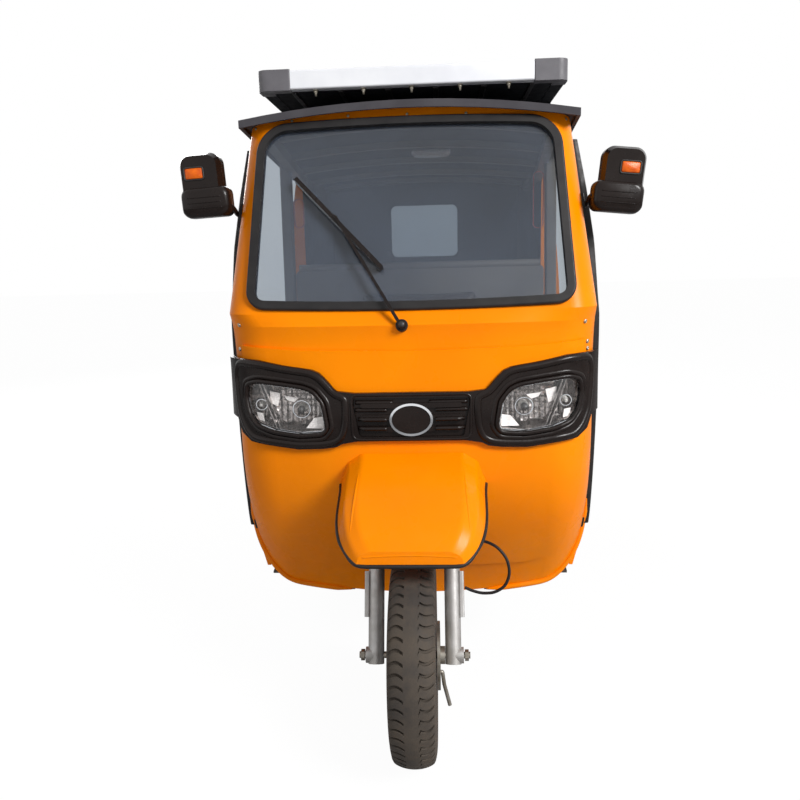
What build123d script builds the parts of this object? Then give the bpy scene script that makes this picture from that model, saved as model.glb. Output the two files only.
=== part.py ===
from build123d import *
import os
from math import cos, radians, sin, sqrt, tan

# Three-wheeled electric passenger vehicle with open sides and a flat roof rack.
# Millimetres. -Y is forward, +X is the vehicle's left, Z is up from the ground.
# The origin is on the ground in the middle of the overall footprint.

# Driving sizes of the whole vehicle
WHEELBASE = 2000.0
FRONT_AXLE_Y = -1052.0
REAR_AXLE_Y = FRONT_AXLE_Y + WHEELBASE
REAR_TRACK = 1080.0
OVERALL_REAR_Y = 1320.0
NOSE_Y = -942.0
SHEET = 6.0
WALL = 10.0
SEAT_GAP = 0.3
RUN_FIT = 0.1
MOVE_GAP = 6.0

# Tyres and rims
TYRE_R = 268.0
TYRE_W = 116.0
RIM_SEAT_R = 156.0
RIM_FLANGE_R = 167.0
RIM_W = 92.0
RIM_T = 5.0
WINDOW_COUNT = 6
WINDOW_R = 124.0
WINDOW_L = 46.0
WINDOW_H = 24.0
WEB_T = 6.0
WEB_DISH = 10.0

# Steering geometry
RAKE = 24.0
FORK_OFFSET = 40.0
STEER_RANGE = 38.0
FORK_HALF = 101.0
LEG_R = 21.0
LEG_FOOT = 22.0
LEG_SLIDER = 300.0
YOKE_T0 = 396.0
YOKE_H = 42.0
STEM_R = 15.0
STEM_TOP = 800.0
LUG_T0 = 96.0
LUG_H = 118.0
AXLE_R = 8.5
AXLE_END = 145.0
NUT_H = 10.0
PLATE_X = 60.0
PLATE_T = 7.0
PLATE_R = 86.0
LEVER_X = 90.0
LEVER_Z = 150.0
BAR_R = 11.0
BAR_HALF = 330.0
GRIP_L = 118.0
FENDER_T = 4.0
FENDER_R_SIDE = 22.0
FENDER_R_CREST = 30.0

# Floor, sills and rear body
FLOOR_Z = 330.0
FLOOR_T = 6.0
FLOOR_HALF_FRONT = 458.0
FLOOR_HALF_REAR = 540.0
FLOOR_RIB_X = (-330.0, -120.0, 120.0, 330.0)
FLOOR_RIB_Y = 310.0
FLOOR_RIB_L = 440.0
RAIL_HALF = 230.0
RAIL_W = 50.0
RAIL_H = 70.0
FRAME_Y0 = -640.0
FRAME_Y1 = 1250.0
KICK_Y0 = 656.0
KICK_Y1 = 786.0
KICK_Z = 400.0
CROSS_Y = (-615.0, -180.0, 240.0, 590.0)
OUTRIGGER_HALF = 440.0

REAR_CROSS_Z0 = 336.0
SPINE_Y0 = -600.0
SPINE_Z0 = 292.0
SPINE_Y1 = -792.0
SPINE_Z1 = 716.0
SPINE_CROSS_Z = 490.0
SPINE_HOLE_W = 84.0
HEAD_T0 = 444.0
HEAD_L = 170.0
BUMPER_Z = 356.0
BUMPER_R = 20.0
BUMPER_Y = OVERALL_REAR_Y - BUMPER_R
BUMPER_HALF = 560.0
SILL_Z0 = 268.0
SILL_Z1 = 400.0
SILL_STEP_W = 42.0
SILL_ENDS = ((-673.7, 486.0, 474.0, 352.0), (639.7, 575.0, 555.0, SILL_Z0))
FIREWALL_Y = -690.0
FIREWALL_Z1 = 880.0
B_PILLAR_Y = 20.0
B_PILLAR_D = 45.0
B_PILLAR_W = 40.0
B_PILLAR_ROWS = ((SILL_Z1 + SEAT_GAP, 532.0), (1660.0, 514.0))
ROOF_RAIL_W = 32.0
ROOF_RAIL_H = 36.0
ROOF_RAIL_Z = 1634.0
BOW_Y = (-500.0, -100.0, 320.0, 760.0, 1120.0)
BOW_Z = 1656.0
BOW_H = 22.0
BOW_D = 30.0
PARTITION_Y = 46.0
PARTITION_T = 16.0
PARTITION_HALF_FOOT = 480.0
PARTITION_HALF_TOP = 474.0
BODY_REAR_Y = 1288.0
PLATE_REAR_X = 474.0
REAR_PLATE_R = 98.0
AXLE_TUBE_R = 32.0
DIFF_R = 95.0
MOTOR_R = 78.0
MOTOR_X0 = -150.0
MOTOR_L = 250.0
MOTOR_AHEAD = 170.0
STUB_R = 16.0
STUB_END = 592.0
REAR_HUB_X1 = 40.0
REAR_WEB_X = 6.0
SPRING_X = 305.0
SPRING_W = 44.0
SPRING_HALF = 285.0
SPRING_BOW = 1200.0
SPRING_PAD = 12.0
LEAF_STEP = 7.0
LEAF_LAP = 0.5
EYE_R = 14.0
EYE_BOLT_R = 6.0
REAR_FRONT_Y = 640.0
ARCH_R = 302.0
JAMB_HALF = 545.0
CORNER_SEAM = 500.0
REAR_PANEL_Z0 = 384.0

# Seats, partition and rear lid
BENCH_Y0 = 600.0
BENCH_Y1 = 1020.0
BENCH_BASE_Z = 580.0
BENCH_BOARD_Y = 612.0
LUGGAGE_Y1 = 1262.0
BACK_PANEL_HALF = 590.0
BACK_PANEL_Z1 = 1196.0
CUSHION_H = 100.0
BENCH_HALF = 540.0
BACK_T = 90.0
BACK_Z1 = 1180.0
DRIVER_HALF = 215.0
DRIVER_Y0 = -340.0
DRIVER_BASE_Z = 600.0
DRIVER_BACK_T = 58.0
BOX_T = 4.0
BATTERY_H = 230.0
PARTITION_Z1 = 1250.0
HATCH_HALF = 430.0
HATCH_Z0 = 604.0
HATCH_Z1 = 1080.0
HATCH_GAP = 6.0
HINGE_X = (-300.0, 300.0)
HINGE_R = 8.0
HINGE_LEAF = 34.0
HINGE_HALF = 36.0
KNUCKLE_HALF = 12.0
PIN_R = 4.0
LEAF_T = 4.0
GRIP_BAR_L = 130.0
TAIL_X = 410.0
TAIL_Z = 478.0
TAIL_L = 130.0
TAIL_H = 84.0
TAIL_PROUD = 22.0
PLATE_BOLT_PITCH = 200.0
PLATE_BOLT_R = 3.3
HOUSE_X = 460.0
HOUSE_T = 4.0
HOUSE_FOOT = 62.3
REAR_WINDOW_HALF = 182.0
REAR_WINDOW_Z0 = 1290.0
REAR_WINDOW_Z1 = 1566.0

# Roof and rack
ROOF_FRONT_Y = -730.0
ROOF_REAR_Y = 1292.0
ROOF_EDGE_Z = 1668.0
ROOF_CROWN = 38.0
ROOF_LIP = 20.0
ROOF_T = 10.0
RACK_FRONT_Y = -710.0
RACK_LENGTH = 1400.0
RACK_HALF = 417.0
RACK_SHIFT = 12.0
RACK_Z0 = 1746.0
RACK_H = 50.0
RACK_RAIL_W = 34.0
RACK_CAP_L = 88.0
RACK_CAP_D = 66.0
RACK_RAIL_H = 32.0
RACK_CROSS_Y = (-382.0, 130.0, 640.0)
RACK_CROSS_W = 36.0
RACK_CROSS_H = 18.0
RACK_FOOT_X = 320.0
RACK_FOOT_W = 34.0
SLAT_COUNT = 5
SLAT_PITCH = 131.0
SLAT_W = 125.0
SLAT_T = 12.0

# Nose mask, lamps and grille
MASK_PROUD = 20.0
MASK_HALF = 509.0
GRILLE_PROUD = 12.0
LAMP_DEPTH = 190.0
BOWL_T = 4.0
GRILLE_HALF_TOP = 158.0
GRILLE_HALF_FOOT = 138.0
GRILLE_Z0 = 827.0
GRILLE_Z1 = 930.0
GRILLE_RIB_H = 13.0
GRILLE_RIB_Z = (848.0, 879.0, 910.0)
RING_HALF_W = 57.0
RING_HALF_H = 43.0
RING_Z = 873.0
RING_BAND = 6.0
FORK_OPENING_HALF = 188.0
FORK_OPENING_Z0 = 452.0
FORK_OPENING_Z1 = 742.0

# Windscreen plane: foot line, slope and outline
SCREEN_Z0 = 1152.0
SCREEN_SETBACK0 = 66.0
SCREEN_Z1 = 1708.0
SCREEN_SETBACK1 = 257.0
GLASS_T = 5.0
SEAL_W = 24.0
SEAL_LAP = 7.0
SEAL_PROUD = 9.0
SEAL_DEEP = 16.0
SCREEN_FOOT = 14.0
SCREEN_HEAD = 532.0
SCREEN_HALF_FOOT = 438.0
SCREEN_HALF_HEAD = 411.0
SCREEN_FOOT_CORNER = 52.0
SCREEN_HEAD_CORNER = 92.0
LENS_PROUD = 15.0
LENS_T = 3.0
TRIM_W = 14.0
TRIM_T = 6.0
TRIM_Z0 = 480.0
TRIM_Z1 = 1640.0

# Mirrors, wiper, dashboard and straps
MIRROR_Y = -742.0
MIRROR_W = 114.0
MIRROR_H = 168.0
MIRROR_D = 52.0
MIRROR_RECESS = 6.0
MIRROR_ARM_Z = 1442.0
MIRROR_ARM_Y = -754.0
MIRROR_ARM_OUT = 24.0
MIRROR_ARM_IN = 42.0
MIRROR_ARM_R = 7.0
MIRROR_PLATE_Y = -692.0
MIRROR_PLATE_Z = 1418.0
MIRROR_PLATE_T = 8.0
WIPER_X = -20.0
WIPER_Y = -41.0
WIPER_BASE_H = 18.0
WIPER_ARM_Z0 = 22.0
WIPER_ARM_Z1 = 28.0
WIPER_BLADE_Z0 = -3.5
WIPER_TIP = (-178.0, 298.0)
BLADE_LOW = (-52.0, 155.0)
BLADE_HIGH = (-283.0, 409.0)
DASH_Y0 = -900.0
DASH_Y1 = -770.0
DASH_Z0 = 1092.0
DASH_Z1 = 1116.0
STRAP_REACH = 42.0
STRAP_W = 22.0
STRAP_T = 5.0
CABLE_R = 4.0

os.makedirs("parts", exist_ok=True)

# Front body surface, as plan sections.
# Columns: height z, set-back of the centre from NOSE_Y, half width, sag of the front arc, corner radius
COWL_ROWS = [
    (262.0, 268.0, 470.0, 20.0, 100.0),
    (400.0, 190.0, 492.0, 36.0, 120.0),
    (560.0, 86.0, 503.0, 50.0, 145.0),
    (760.0, 28.0, 506.0, 60.0, 158.0),
    (1118.0, 40.0, 505.0, 46.0, 130.0),
]
SCREEN_ROWS = [
    (1118.0, 40.0, 505.0, 46.0, 130.0),
    (SCREEN_Z0, SCREEN_SETBACK0, 502.0, 8.0, 84.0),
    (SCREEN_Z1 + 40.0, SCREEN_SETBACK1 + 13.7, 441.0, 8.0, 84.0),
]
COWL_BACK = 560.0
REACH = 1100.0


def plan_section(z, setback, half, sag, radius, grow):
    """Plan outline of the nose at height z, grown outwards by grow."""
    h = half + grow
    y_mid = NOSE_Y + setback - grow
    y_side = y_mid + sag
    y_back = NOSE_Y + COWL_BACK
    with BuildSketch(Plane.XY.offset(z)) as section:
        with BuildLine():
            ThreePointArc((-h, y_side), (0, y_mid), (h, y_side))
            Polyline((h, y_side), (h, y_back), (-h, y_back), (-h, y_side))
        make_face()
        fillet(section.vertices().sort_by(Axis.Y)[:2], radius + grow)
    return section.sketch


def cowl_solid(grow):
    """Solid lower nose, grown outwards by grow."""
    with BuildPart() as solid:
        for row in COWL_ROWS:
            add(plan_section(*row, grow))
        loft()
    return solid.part


def screen_solid(grow):
    """Solid nose behind the windscreen, grown outwards by grow."""
    with BuildPart() as solid:
        for row in SCREEN_ROWS:
            add(plan_section(*row, grow))
        loft(ruled=True)
    return solid.part


def mirrored_face(points):
    """Front-view face from one side's (x, z) points, closed over the centre line."""
    right = [(x, z) for x, z in points]
    left = [(-x, z) for x, z in reversed(points) if x > 0]
    with BuildSketch(Plane.XZ) as face:
        with BuildLine():
            Polyline(*right, *left, close=True)
        make_face()
    return face.sketch


# Layers of the nose, from the inside out
cowl_core = cowl_solid(-WALL - SEAT_GAP)
cowl_in = cowl_solid(-WALL)
cowl_out = cowl_solid(0)
panel_in = cowl_solid(SEAT_GAP)
panel_out = cowl_solid(SHEET)
mask_in = cowl_solid(SHEET + SEAT_GAP)
mask_out = cowl_solid(MASK_PROUD)
grille_out = cowl_solid(GRILLE_PROUD)
ring_in = cowl_solid(GRILLE_PROUD + SEAT_GAP)
ring_out = cowl_solid(MASK_PROUD + 3)
lens_in = cowl_solid(LENS_PROUD - LENS_T)
lens_out = cowl_solid(LENS_PROUD)
screen_seat_shell = screen_solid(SEAT_GAP)
bowl_limit = cowl_solid(LENS_PROUD - LENS_T - SEAT_GAP)
screen_in = screen_solid(-WALL)
screen_out = screen_solid(0)

# Front-view outlines of the nose, one side only, as (x, z)
SEAM_MID_Z = 1053.0
SEAM_SIDE_Z = 1076.0
MASK_POINTS = [
    (0, 944), (150, 943), (201, 948), (219, 972), (243, 996), (262, 1004),
    (340, 1015), (415, 1030), (560, 1032), (560, 878), (487, 866), (472, 828),
    (442, 807), (383, 800), (306, 791), (237, 794), (202, 799), (185, 808), (145, 815), (0, 817),
]
LENS_POINTS = [
    (228, 850), (239, 915), (264, 945), (289, 954), (340, 961), (416, 970),
    (444, 962), (447, 927), (438, 884), (418, 858), (371, 842), (300, 833), (236, 838),
]
PANEL_POINTS = [
    (0, 1051), (292, 1055), (464, 1066), (465, 773), (459, 662), (446, 548),
    (433, 482), (414, 436), (380, 408), (320, 388), (0, 376),
]

# Opening for the fork, hidden behind the fender
with BuildSketch(Plane.XZ) as fork_opening:
    with Locations((0, (FORK_OPENING_Z0 + FORK_OPENING_Z1) / 2)):
        RectangleRounded(2 * FORK_OPENING_HALF, FORK_OPENING_Z1 - FORK_OPENING_Z0, 60)

# Side-view edge of the driver's doorway, as (y, z)
EDGE_FOOT_Y = NOSE_Y + 268.0
EDGE_BELT_Y = NOSE_Y + 285.0
EDGE_HEAD_Y = NOSE_Y + 420.0
EDGE_HEAD_Z = SCREEN_Z1 + 80.0
with BuildSketch(Plane.YZ.offset(-REACH)) as doorway_edge:
    with BuildLine():
        Polyline(
            (EDGE_FOOT_Y, 200), (EDGE_FOOT_Y, SILL_Z1), (EDGE_BELT_Y, SCREEN_Z0),
            (EDGE_HEAD_Y, EDGE_HEAD_Z), (NOSE_Y + COWL_BACK + 60, EDGE_HEAD_Z),
            (NOSE_Y + COWL_BACK + 60, 200), close=True)
    make_face()
with BuildPart() as behind_doorway_edge:
    extrude(doorway_edge.sketch, amount=2 * REACH)

# Seam between the lower cowl and the windscreen frame
with BuildSketch(Plane.XZ.offset(-REACH)) as above_seam:
    with BuildLine():
        ThreePointArc((-600, SEAM_SIDE_Z), (0, SEAM_MID_Z), (600, SEAM_SIDE_Z))
        Polyline((600, SEAM_SIDE_Z), (600, 1900), (-600, 1900), (-600, SEAM_SIDE_Z))
    make_face()
with BuildPart() as upper_zone:
    extrude(above_seam.sketch, amount=2 * REACH)

# Lamp openings on both sides, cut from the front only
with BuildSketch(Plane.XZ.offset(-NOSE_Y - LAMP_DEPTH)) as lens_face:
    with BuildLine():
        Polyline(*LENS_POINTS, close=True)
    make_face()
    mirror(about=Plane.YZ)
with BuildPart() as lens_prisms:
    extrude(lens_face.sketch, amount=LAMP_DEPTH + 100)
with BuildSketch(Plane.XZ.offset(-NOSE_Y - LAMP_DEPTH)) as lamp_hole_face:
    add(lens_face.sketch)
    offset(amount=SEAT_GAP)
with BuildPart() as lamp_holes:
    extrude(lamp_hole_face.sketch, amount=LAMP_DEPTH + 100)

# Lower cowl shell with the fork opening and the lamp openings
with BuildPart() as front_cowl:
    add(cowl_out)
    add(cowl_in, mode=Mode.SUBTRACT)
    add(upper_zone.part, mode=Mode.SUBTRACT)
    add(behind_doorway_edge.part, mode=Mode.SUBTRACT)
    extrude(fork_opening.sketch, amount=-NOSE_Y + 60, mode=Mode.SUBTRACT)
    add(lamp_holes.part, mode=Mode.SUBTRACT)
front_cowl.part.label = "front_cowl"
export_step(front_cowl.part, "parts/front_cowl.step")

# Raised front panel on the cowl
with BuildPart() as cowl_panel:
    extrude(mirrored_face(PANEL_POINTS), amount=-NOSE_Y + 60)
    add(panel_out, mode=Mode.INTERSECT)
    add(panel_in, mode=Mode.SUBTRACT)
    extrude(fork_opening.sketch, amount=-NOSE_Y + 60, mode=Mode.SUBTRACT)
    add(lamp_holes.part, mode=Mode.SUBTRACT)
cowl_panel.part.label = "cowl_panel"
export_step(cowl_panel.part, "parts/cowl_panel.step")

# Dark mask round the lamps, with the grille band between them
with BuildSketch(Plane.XZ) as grille_face:
    with BuildLine():
        Polyline(
            (-GRILLE_HALF_TOP, GRILLE_Z1), (GRILLE_HALF_TOP, GRILLE_Z1),
            (GRILLE_HALF_FOOT, GRILLE_Z0), (-GRILLE_HALF_FOOT, GRILLE_Z0), close=True)
    make_face()
    fillet(grille_face.vertices(), 10)
with BuildPart() as front_mask:
    extrude(mirrored_face(MASK_POINTS), amount=-NOSE_Y + 60)
    add(mask_out, mode=Mode.INTERSECT)
    Box(2 * MASK_HALF, 2 * REACH, 2 * REACH, mode=Mode.INTERSECT)
    add(mask_in, mode=Mode.SUBTRACT)
    add(behind_doorway_edge.part, mode=Mode.SUBTRACT)
    add(lamp_holes.part, mode=Mode.SUBTRACT)
    extrude(grille_face.sketch, amount=-NOSE_Y + 60, mode=Mode.SUBTRACT)
front_mask.part.label = "front_mask"
export_step(front_mask.part, "parts/front_mask.step")

# Grille back plate with three cross ribs, seated in the mask
with BuildSketch(Plane.XZ) as grille_inner:
    add(grille_face.sketch)
    offset(amount=-SEAT_GAP)
with BuildSketch(Plane.XZ) as rib_faces:
    for rib_z in GRILLE_RIB_Z:
        with Locations((0, rib_z)):
            SlotOverall(2 * GRILLE_HALF_FOOT - 8, GRILLE_RIB_H)
    with Locations((0, RING_Z)):
        Ellipse(RING_HALF_W + SEAT_GAP, RING_HALF_H + SEAT_GAP, mode=Mode.SUBTRACT)
with BuildSketch(Plane.XZ) as plate_face:
    with Locations((0, RING_Z)):
        Ellipse(RING_HALF_W - RING_BAND - SEAT_GAP, RING_HALF_H - RING_BAND - SEAT_GAP)
with BuildPart() as grille_relief:
    extrude(rib_faces.sketch, amount=-NOSE_Y + 60)
    extrude(plate_face.sketch, amount=-NOSE_Y + 60)
    add(mask_out, mode=Mode.INTERSECT)
    add(mask_in, mode=Mode.SUBTRACT)
with BuildPart() as grille:
    extrude(grille_inner.sketch, amount=-NOSE_Y + 60)
    add(grille_out, mode=Mode.INTERSECT)
    add(mask_in, mode=Mode.SUBTRACT)
    add(grille_relief.part)
grille.part.label = "grille"
export_step(grille.part, "parts/grille.step")

# Bright oval ring on the grille, bare inside
with BuildSketch(Plane.XZ) as ring_face:
    with Locations((0, RING_Z)):
        Ellipse(RING_HALF_W, RING_HALF_H)
        Ellipse(RING_HALF_W - RING_BAND, RING_HALF_H - RING_BAND, mode=Mode.SUBTRACT)
with BuildPart() as badge_ring:
    extrude(ring_face.sketch, amount=-NOSE_Y + 60)
    add(ring_out, mode=Mode.INTERSECT)
    add(ring_in, mode=Mode.SUBTRACT)
badge_ring.part.label = "badge_ring"
export_step(badge_ring.part, "parts/badge_ring.step")

# Clear lenses and the reflector bowls behind them
with BuildPart() as headlamp_lenses:
    add(lens_prisms.part)
    add(lens_out, mode=Mode.INTERSECT)
    add(lens_in, mode=Mode.SUBTRACT)
headlamp_lenses.part.label = "headlamp_lenses"
export_step(headlamp_lenses.part, "parts/headlamp_lenses.step")

with BuildSketch(Plane.XZ.offset(-NOSE_Y - LAMP_DEPTH + BOWL_T)) as bowl_face:
    add(lens_face.sketch)
    offset(amount=-BOWL_T)
with BuildPart() as headlamp_bowls:
    add(lens_prisms.part)
    add(bowl_limit, mode=Mode.INTERSECT)
    extrude(bowl_face.sketch, amount=LAMP_DEPTH + 100, mode=Mode.SUBTRACT)
headlamp_bowls.part.label = "headlamp_bowls"
export_step(headlamp_bowls.part, "parts/headlamp_bowls.step")

# Roof plan. Columns: y, half width
ROOF_ROWS = [(ROOF_FRONT_Y, 461.0), (620.0, 582.0), (ROOF_REAR_Y, 582.0)]


def roof_half(y):
    """Half width of the roof at y, carried on past both ends."""
    (y0, h0), (y1, h1), (y2, h2) = ROOF_ROWS
    if y < y1:
        return h0 + (h1 - h0) * (y - y0) / (y1 - y0)
    return h1 + (h2 - h1) * (y - y1) / (y2 - y1)


def roof_section(y, inset, drop, foot_z, arched):
    """Cross-section of the roof at y, set in at the sides and lowered by drop."""
    half = roof_half(y) - inset
    edge_z = ROOF_EDGE_Z - drop
    with BuildSketch(Plane.XZ.offset(-y)) as section:
        with BuildLine():
            ThreePointArc((-half, edge_z), (0, edge_z + ROOF_CROWN), (half, edge_z))
            Line((half, edge_z), (half, foot_z))
            if arched:
                ThreePointArc((half, foot_z), (0, foot_z + ROOF_CROWN), (-half, foot_z))
            else:
                Line((half, foot_z), (-half, foot_z))
            Line((-half, foot_z), (-half, edge_z))
        make_face()
    return section.sketch


def roof_solid(inset, drop, foot_z, arched):
    """Roof block between the end rows, set in by inset and lowered by drop."""
    (front_y, _), (mid_y, _), (rear_y, _) = ROOF_ROWS
    with BuildPart() as block:
        for y in (front_y + inset, mid_y, rear_y - inset):
            add(roof_section(y, inset, drop, foot_z, arched))
        loft(ruled=True)
    return block.part


with BuildPart() as roof_shell:
    add(roof_solid(0, 0, ROOF_EDGE_Z - ROOF_LIP, True))
    add(roof_solid(ROOF_T, ROOF_T, ROOF_EDGE_Z - ROOF_LIP - 60, False), mode=Mode.SUBTRACT)
roof_shell.part.label = "roof_shell"
export_step(roof_shell.part, "parts/roof_shell.step")
# Everything above the roof's underside, for trimming what stands under it
roof_space = roof_solid(ROOF_T, ROOF_T + SEAT_GAP, ROOF_EDGE_Z + 300, False)
# Roof block with its gap, for trimming what stands on it
roof_seat = roof_solid(-SEAT_GAP, -SEAT_GAP, ROOF_EDGE_Z - 100, False)

# Windscreen plane with its own up-slope axis
SLOPE = SCREEN_SETBACK1 - SCREEN_SETBACK0
RISE = SCREEN_Z1 - SCREEN_Z0
SLOPE_LENGTH = sqrt(SLOPE * SLOPE + RISE * RISE)
SCREEN_PLANE = Plane(
    origin=(0, NOSE_Y + SCREEN_SETBACK0, SCREEN_Z0),
    x_dir=(1, 0, 0),
    z_dir=(0, -RISE / SLOPE_LENGTH, SLOPE / SLOPE_LENGTH))


def screen_face(shrink, height):
    """Windscreen outline, shrunk evenly and lifted off its plane by height."""
    foot = SCREEN_FOOT
    top = SCREEN_HEAD
    with BuildSketch(SCREEN_PLANE.offset(height)) as face:
        with BuildLine():
            ThreePointArc((-SCREEN_HALF_FOOT, foot), (0, foot - 12), (SCREEN_HALF_FOOT, foot))
            Line((SCREEN_HALF_FOOT, foot), (SCREEN_HALF_HEAD, top))
            ThreePointArc((SCREEN_HALF_HEAD, top), (0, top + 14), (-SCREEN_HALF_HEAD, top))
            Line((-SCREEN_HALF_HEAD, top), (-SCREEN_HALF_FOOT, foot))
        make_face()
        fillet(face.vertices().group_by(Axis.Y)[0], SCREEN_FOOT_CORNER)
        fillet(face.vertices().group_by(Axis.Y)[-1], SCREEN_HEAD_CORNER)
        if shrink:
            offset(amount=-shrink)
    return face.sketch


# Windscreen frame and A-pillars above the seam
with BuildPart() as scuttle:
    add(cowl_out)
    add(cowl_in, mode=Mode.SUBTRACT)
    add(upper_zone.part, mode=Mode.INTERSECT)
with BuildPart() as screen_frame:
    add(screen_out)
    add(screen_in, mode=Mode.SUBTRACT)
    add(scuttle.part)
    add(behind_doorway_edge.part, mode=Mode.SUBTRACT)
    extrude(screen_face(SEAL_LAP, -60), amount=120, mode=Mode.SUBTRACT)
    add(roof_space, mode=Mode.SUBTRACT)
screen_frame.part.label = "screen_frame"
export_step(screen_frame.part, "parts/screen_frame.step")

# Flat windscreen
with BuildPart() as windscreen:
    extrude(screen_face(SEAL_W - 6, -SEAL_DEEP + 6), amount=GLASS_T)
windscreen.part.label = "windscreen"
export_step(windscreen.part, "parts/windscreen.step")

# Frame skin with its gap, for cutting the seal
with BuildPart() as seal_frame_skin:
    add(screen_seat_shell)
    extrude(screen_face(SEAL_LAP + SEAT_GAP, -80), amount=160, mode=Mode.SUBTRACT)
seal_frame = seal_frame_skin.part

# Rubber seal: a lip over the frame and a grooved core in the opening
with BuildPart() as windscreen_seal:
    extrude(screen_face(0, -4), amount=4 + SEAL_PROUD)
    fillet(windscreen_seal.faces().sort_by(Axis((0, 0, 0), tuple(SCREEN_PLANE.z_dir)))[-1].edges(), 6)
    extrude(screen_face(SEAL_LAP + SEAT_GAP, -SEAL_DEEP), amount=SEAL_DEEP)
    extrude(screen_face(SEAL_W, -SEAL_DEEP - 5), amount=SEAL_DEEP + 40, mode=Mode.SUBTRACT)
    extrude(screen_face(SEAL_W - 6 - SEAT_GAP, -SEAL_DEEP + 6 - SEAT_GAP),
            amount=GLASS_T + 2 * SEAT_GAP, mode=Mode.SUBTRACT)
    add(seal_frame, mode=Mode.SUBTRACT)
windscreen_seal.part.label = "windscreen_seal"
export_step(windscreen_seal.part, "parts/windscreen_seal.step")

# Rubber channel along the edge of each driver's doorway
EDGE_TRIM_Y = EDGE_BELT_Y + (EDGE_HEAD_Y - EDGE_BELT_Y) * (TRIM_Z1 - SCREEN_Z0) / (EDGE_HEAD_Z - SCREEN_Z0)
with BuildSketch(Plane.YZ.offset(-REACH)) as doorway_ahead:
    with BuildLine():
        Polyline(
            (EDGE_FOOT_Y + SEAT_GAP, 200), (EDGE_FOOT_Y + SEAT_GAP, SILL_Z1), (EDGE_BELT_Y + SEAT_GAP, SCREEN_Z0),
            (EDGE_HEAD_Y + SEAT_GAP, EDGE_HEAD_Z), (-REACH, EDGE_HEAD_Z), (-REACH, 200), close=True)
    make_face()
with BuildSketch(Plane.YZ.offset(-REACH)) as trim_band:
    with BuildLine():
        Polyline(
            (EDGE_FOOT_Y - TRIM_W, TRIM_Z0), (EDGE_FOOT_Y + TRIM_T, TRIM_Z0),
            (EDGE_BELT_Y + TRIM_T, SCREEN_Z0), (EDGE_TRIM_Y + TRIM_T, TRIM_Z1),
            (EDGE_TRIM_Y - TRIM_W, TRIM_Z1), (EDGE_BELT_Y - TRIM_W, SCREEN_Z0), close=True)
    make_face()
with BuildPart() as trim_lower:
    add(cowl_solid(TRIM_T))
    add(cowl_solid(-WALL - TRIM_T), mode=Mode.SUBTRACT)
with BuildPart() as trim_upper:
    add(screen_solid(TRIM_T))
    add(screen_solid(-WALL - TRIM_T), mode=Mode.SUBTRACT)
with BuildPart() as slot_lower:
    add(cowl_solid(SEAT_GAP))
    add(cowl_core, mode=Mode.SUBTRACT)
with BuildPart() as slot_upper:
    add(screen_solid(SEAT_GAP))
    add(screen_solid(-WALL - SEAT_GAP), mode=Mode.SUBTRACT)
with BuildPart() as ahead_of_doorway:
    extrude(doorway_ahead.sketch, amount=2 * REACH)
with BuildPart() as door_edge_trims:
    add(trim_lower.part)
    add(trim_upper.part)
    with BuildPart(mode=Mode.PRIVATE) as band:
        extrude(trim_band.sketch, amount=2 * REACH)
    add(band.part, mode=Mode.INTERSECT)
    with BuildPart(mode=Mode.PRIVATE) as slot:
        add(slot_lower.part)
        add(slot_upper.part)
        add(ahead_of_doorway.part, mode=Mode.INTERSECT)
    add(slot.part, mode=Mode.SUBTRACT)
door_edge_trims.part.label = "door_edge_trims"
export_step(door_edge_trims.part, "parts/door_edge_trims.step")

# Fender over the front wheel, carried on the cowl.
# Columns: y, crest half width, crest z, shoulder half width, shoulder z, foot half width, foot z
FENDER_ROWS = [
    (NOSE_Y + 90.0, 150.0, 796.0, 194.0, 758.0, 212.0, 700.0),
    (NOSE_Y - 110.0, 134.0, 726.0, 168.0, 706.0, 188.0, 650.0),
    (NOSE_Y - 226.0, 114.0, 642.0, 142.0, 626.0, 153.0, 594.0),
    (NOSE_Y - 248.0, 96.0, 614.0, 122.0, 602.0, 129.0, 577.0),
]


def fender_solid(inset):
    """Hood-shaped block of the fender, set in by inset."""
    with BuildPart() as block:
        for y, crest_half, crest_z, side_half, side_z, foot_half, foot_z in FENDER_ROWS:
            front_inset = inset if y < NOSE_Y - 200 else 0
            crest = (crest_half - inset / 2, crest_z - inset)
            side = (side_half - inset, side_z - inset / 2)
            foot = (foot_half - inset, foot_z - 8 * inset)
            with BuildSketch(Plane.XZ.offset(-y - front_inset)):
                with BuildLine():
                    FilletPolyline(
                        (-foot[0], foot[1]), (-side[0], side[1]), (-crest[0], crest[1]),
                        crest, side, foot,
                        radius=(FENDER_R_SIDE, FENDER_R_CREST, FENDER_R_CREST, FENDER_R_SIDE))
                    Line(foot, (-foot[0], foot[1]))
                make_face()
        loft()
    return block.part


with BuildPart() as front_fender:
    add(fender_solid(0))
    add(fender_solid(FENDER_T), mode=Mode.SUBTRACT)
    add(mask_in, mode=Mode.SUBTRACT)
front_fender.part.label = "front_fender"
export_step(front_fender.part, "parts/front_fender.step")

# Steering axis. Local z runs up the axis, local -y is forward
AXIS_UP = (0, sin(radians(RAKE)), cos(radians(RAKE)))
AXIS_FOOT = (0, FRONT_AXLE_Y + FORK_OFFSET * cos(radians(RAKE)), TYRE_R - FORK_OFFSET * sin(radians(RAKE)))
STEER_PLANE = Plane(origin=AXIS_FOOT, x_dir=(1, 0, 0), z_dir=AXIS_UP)
FRONT_AXLE_PLANE = Plane(origin=(0, FRONT_AXLE_Y, TYRE_R), x_dir=(0, 1, 0), z_dir=(1, 0, 0))

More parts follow.
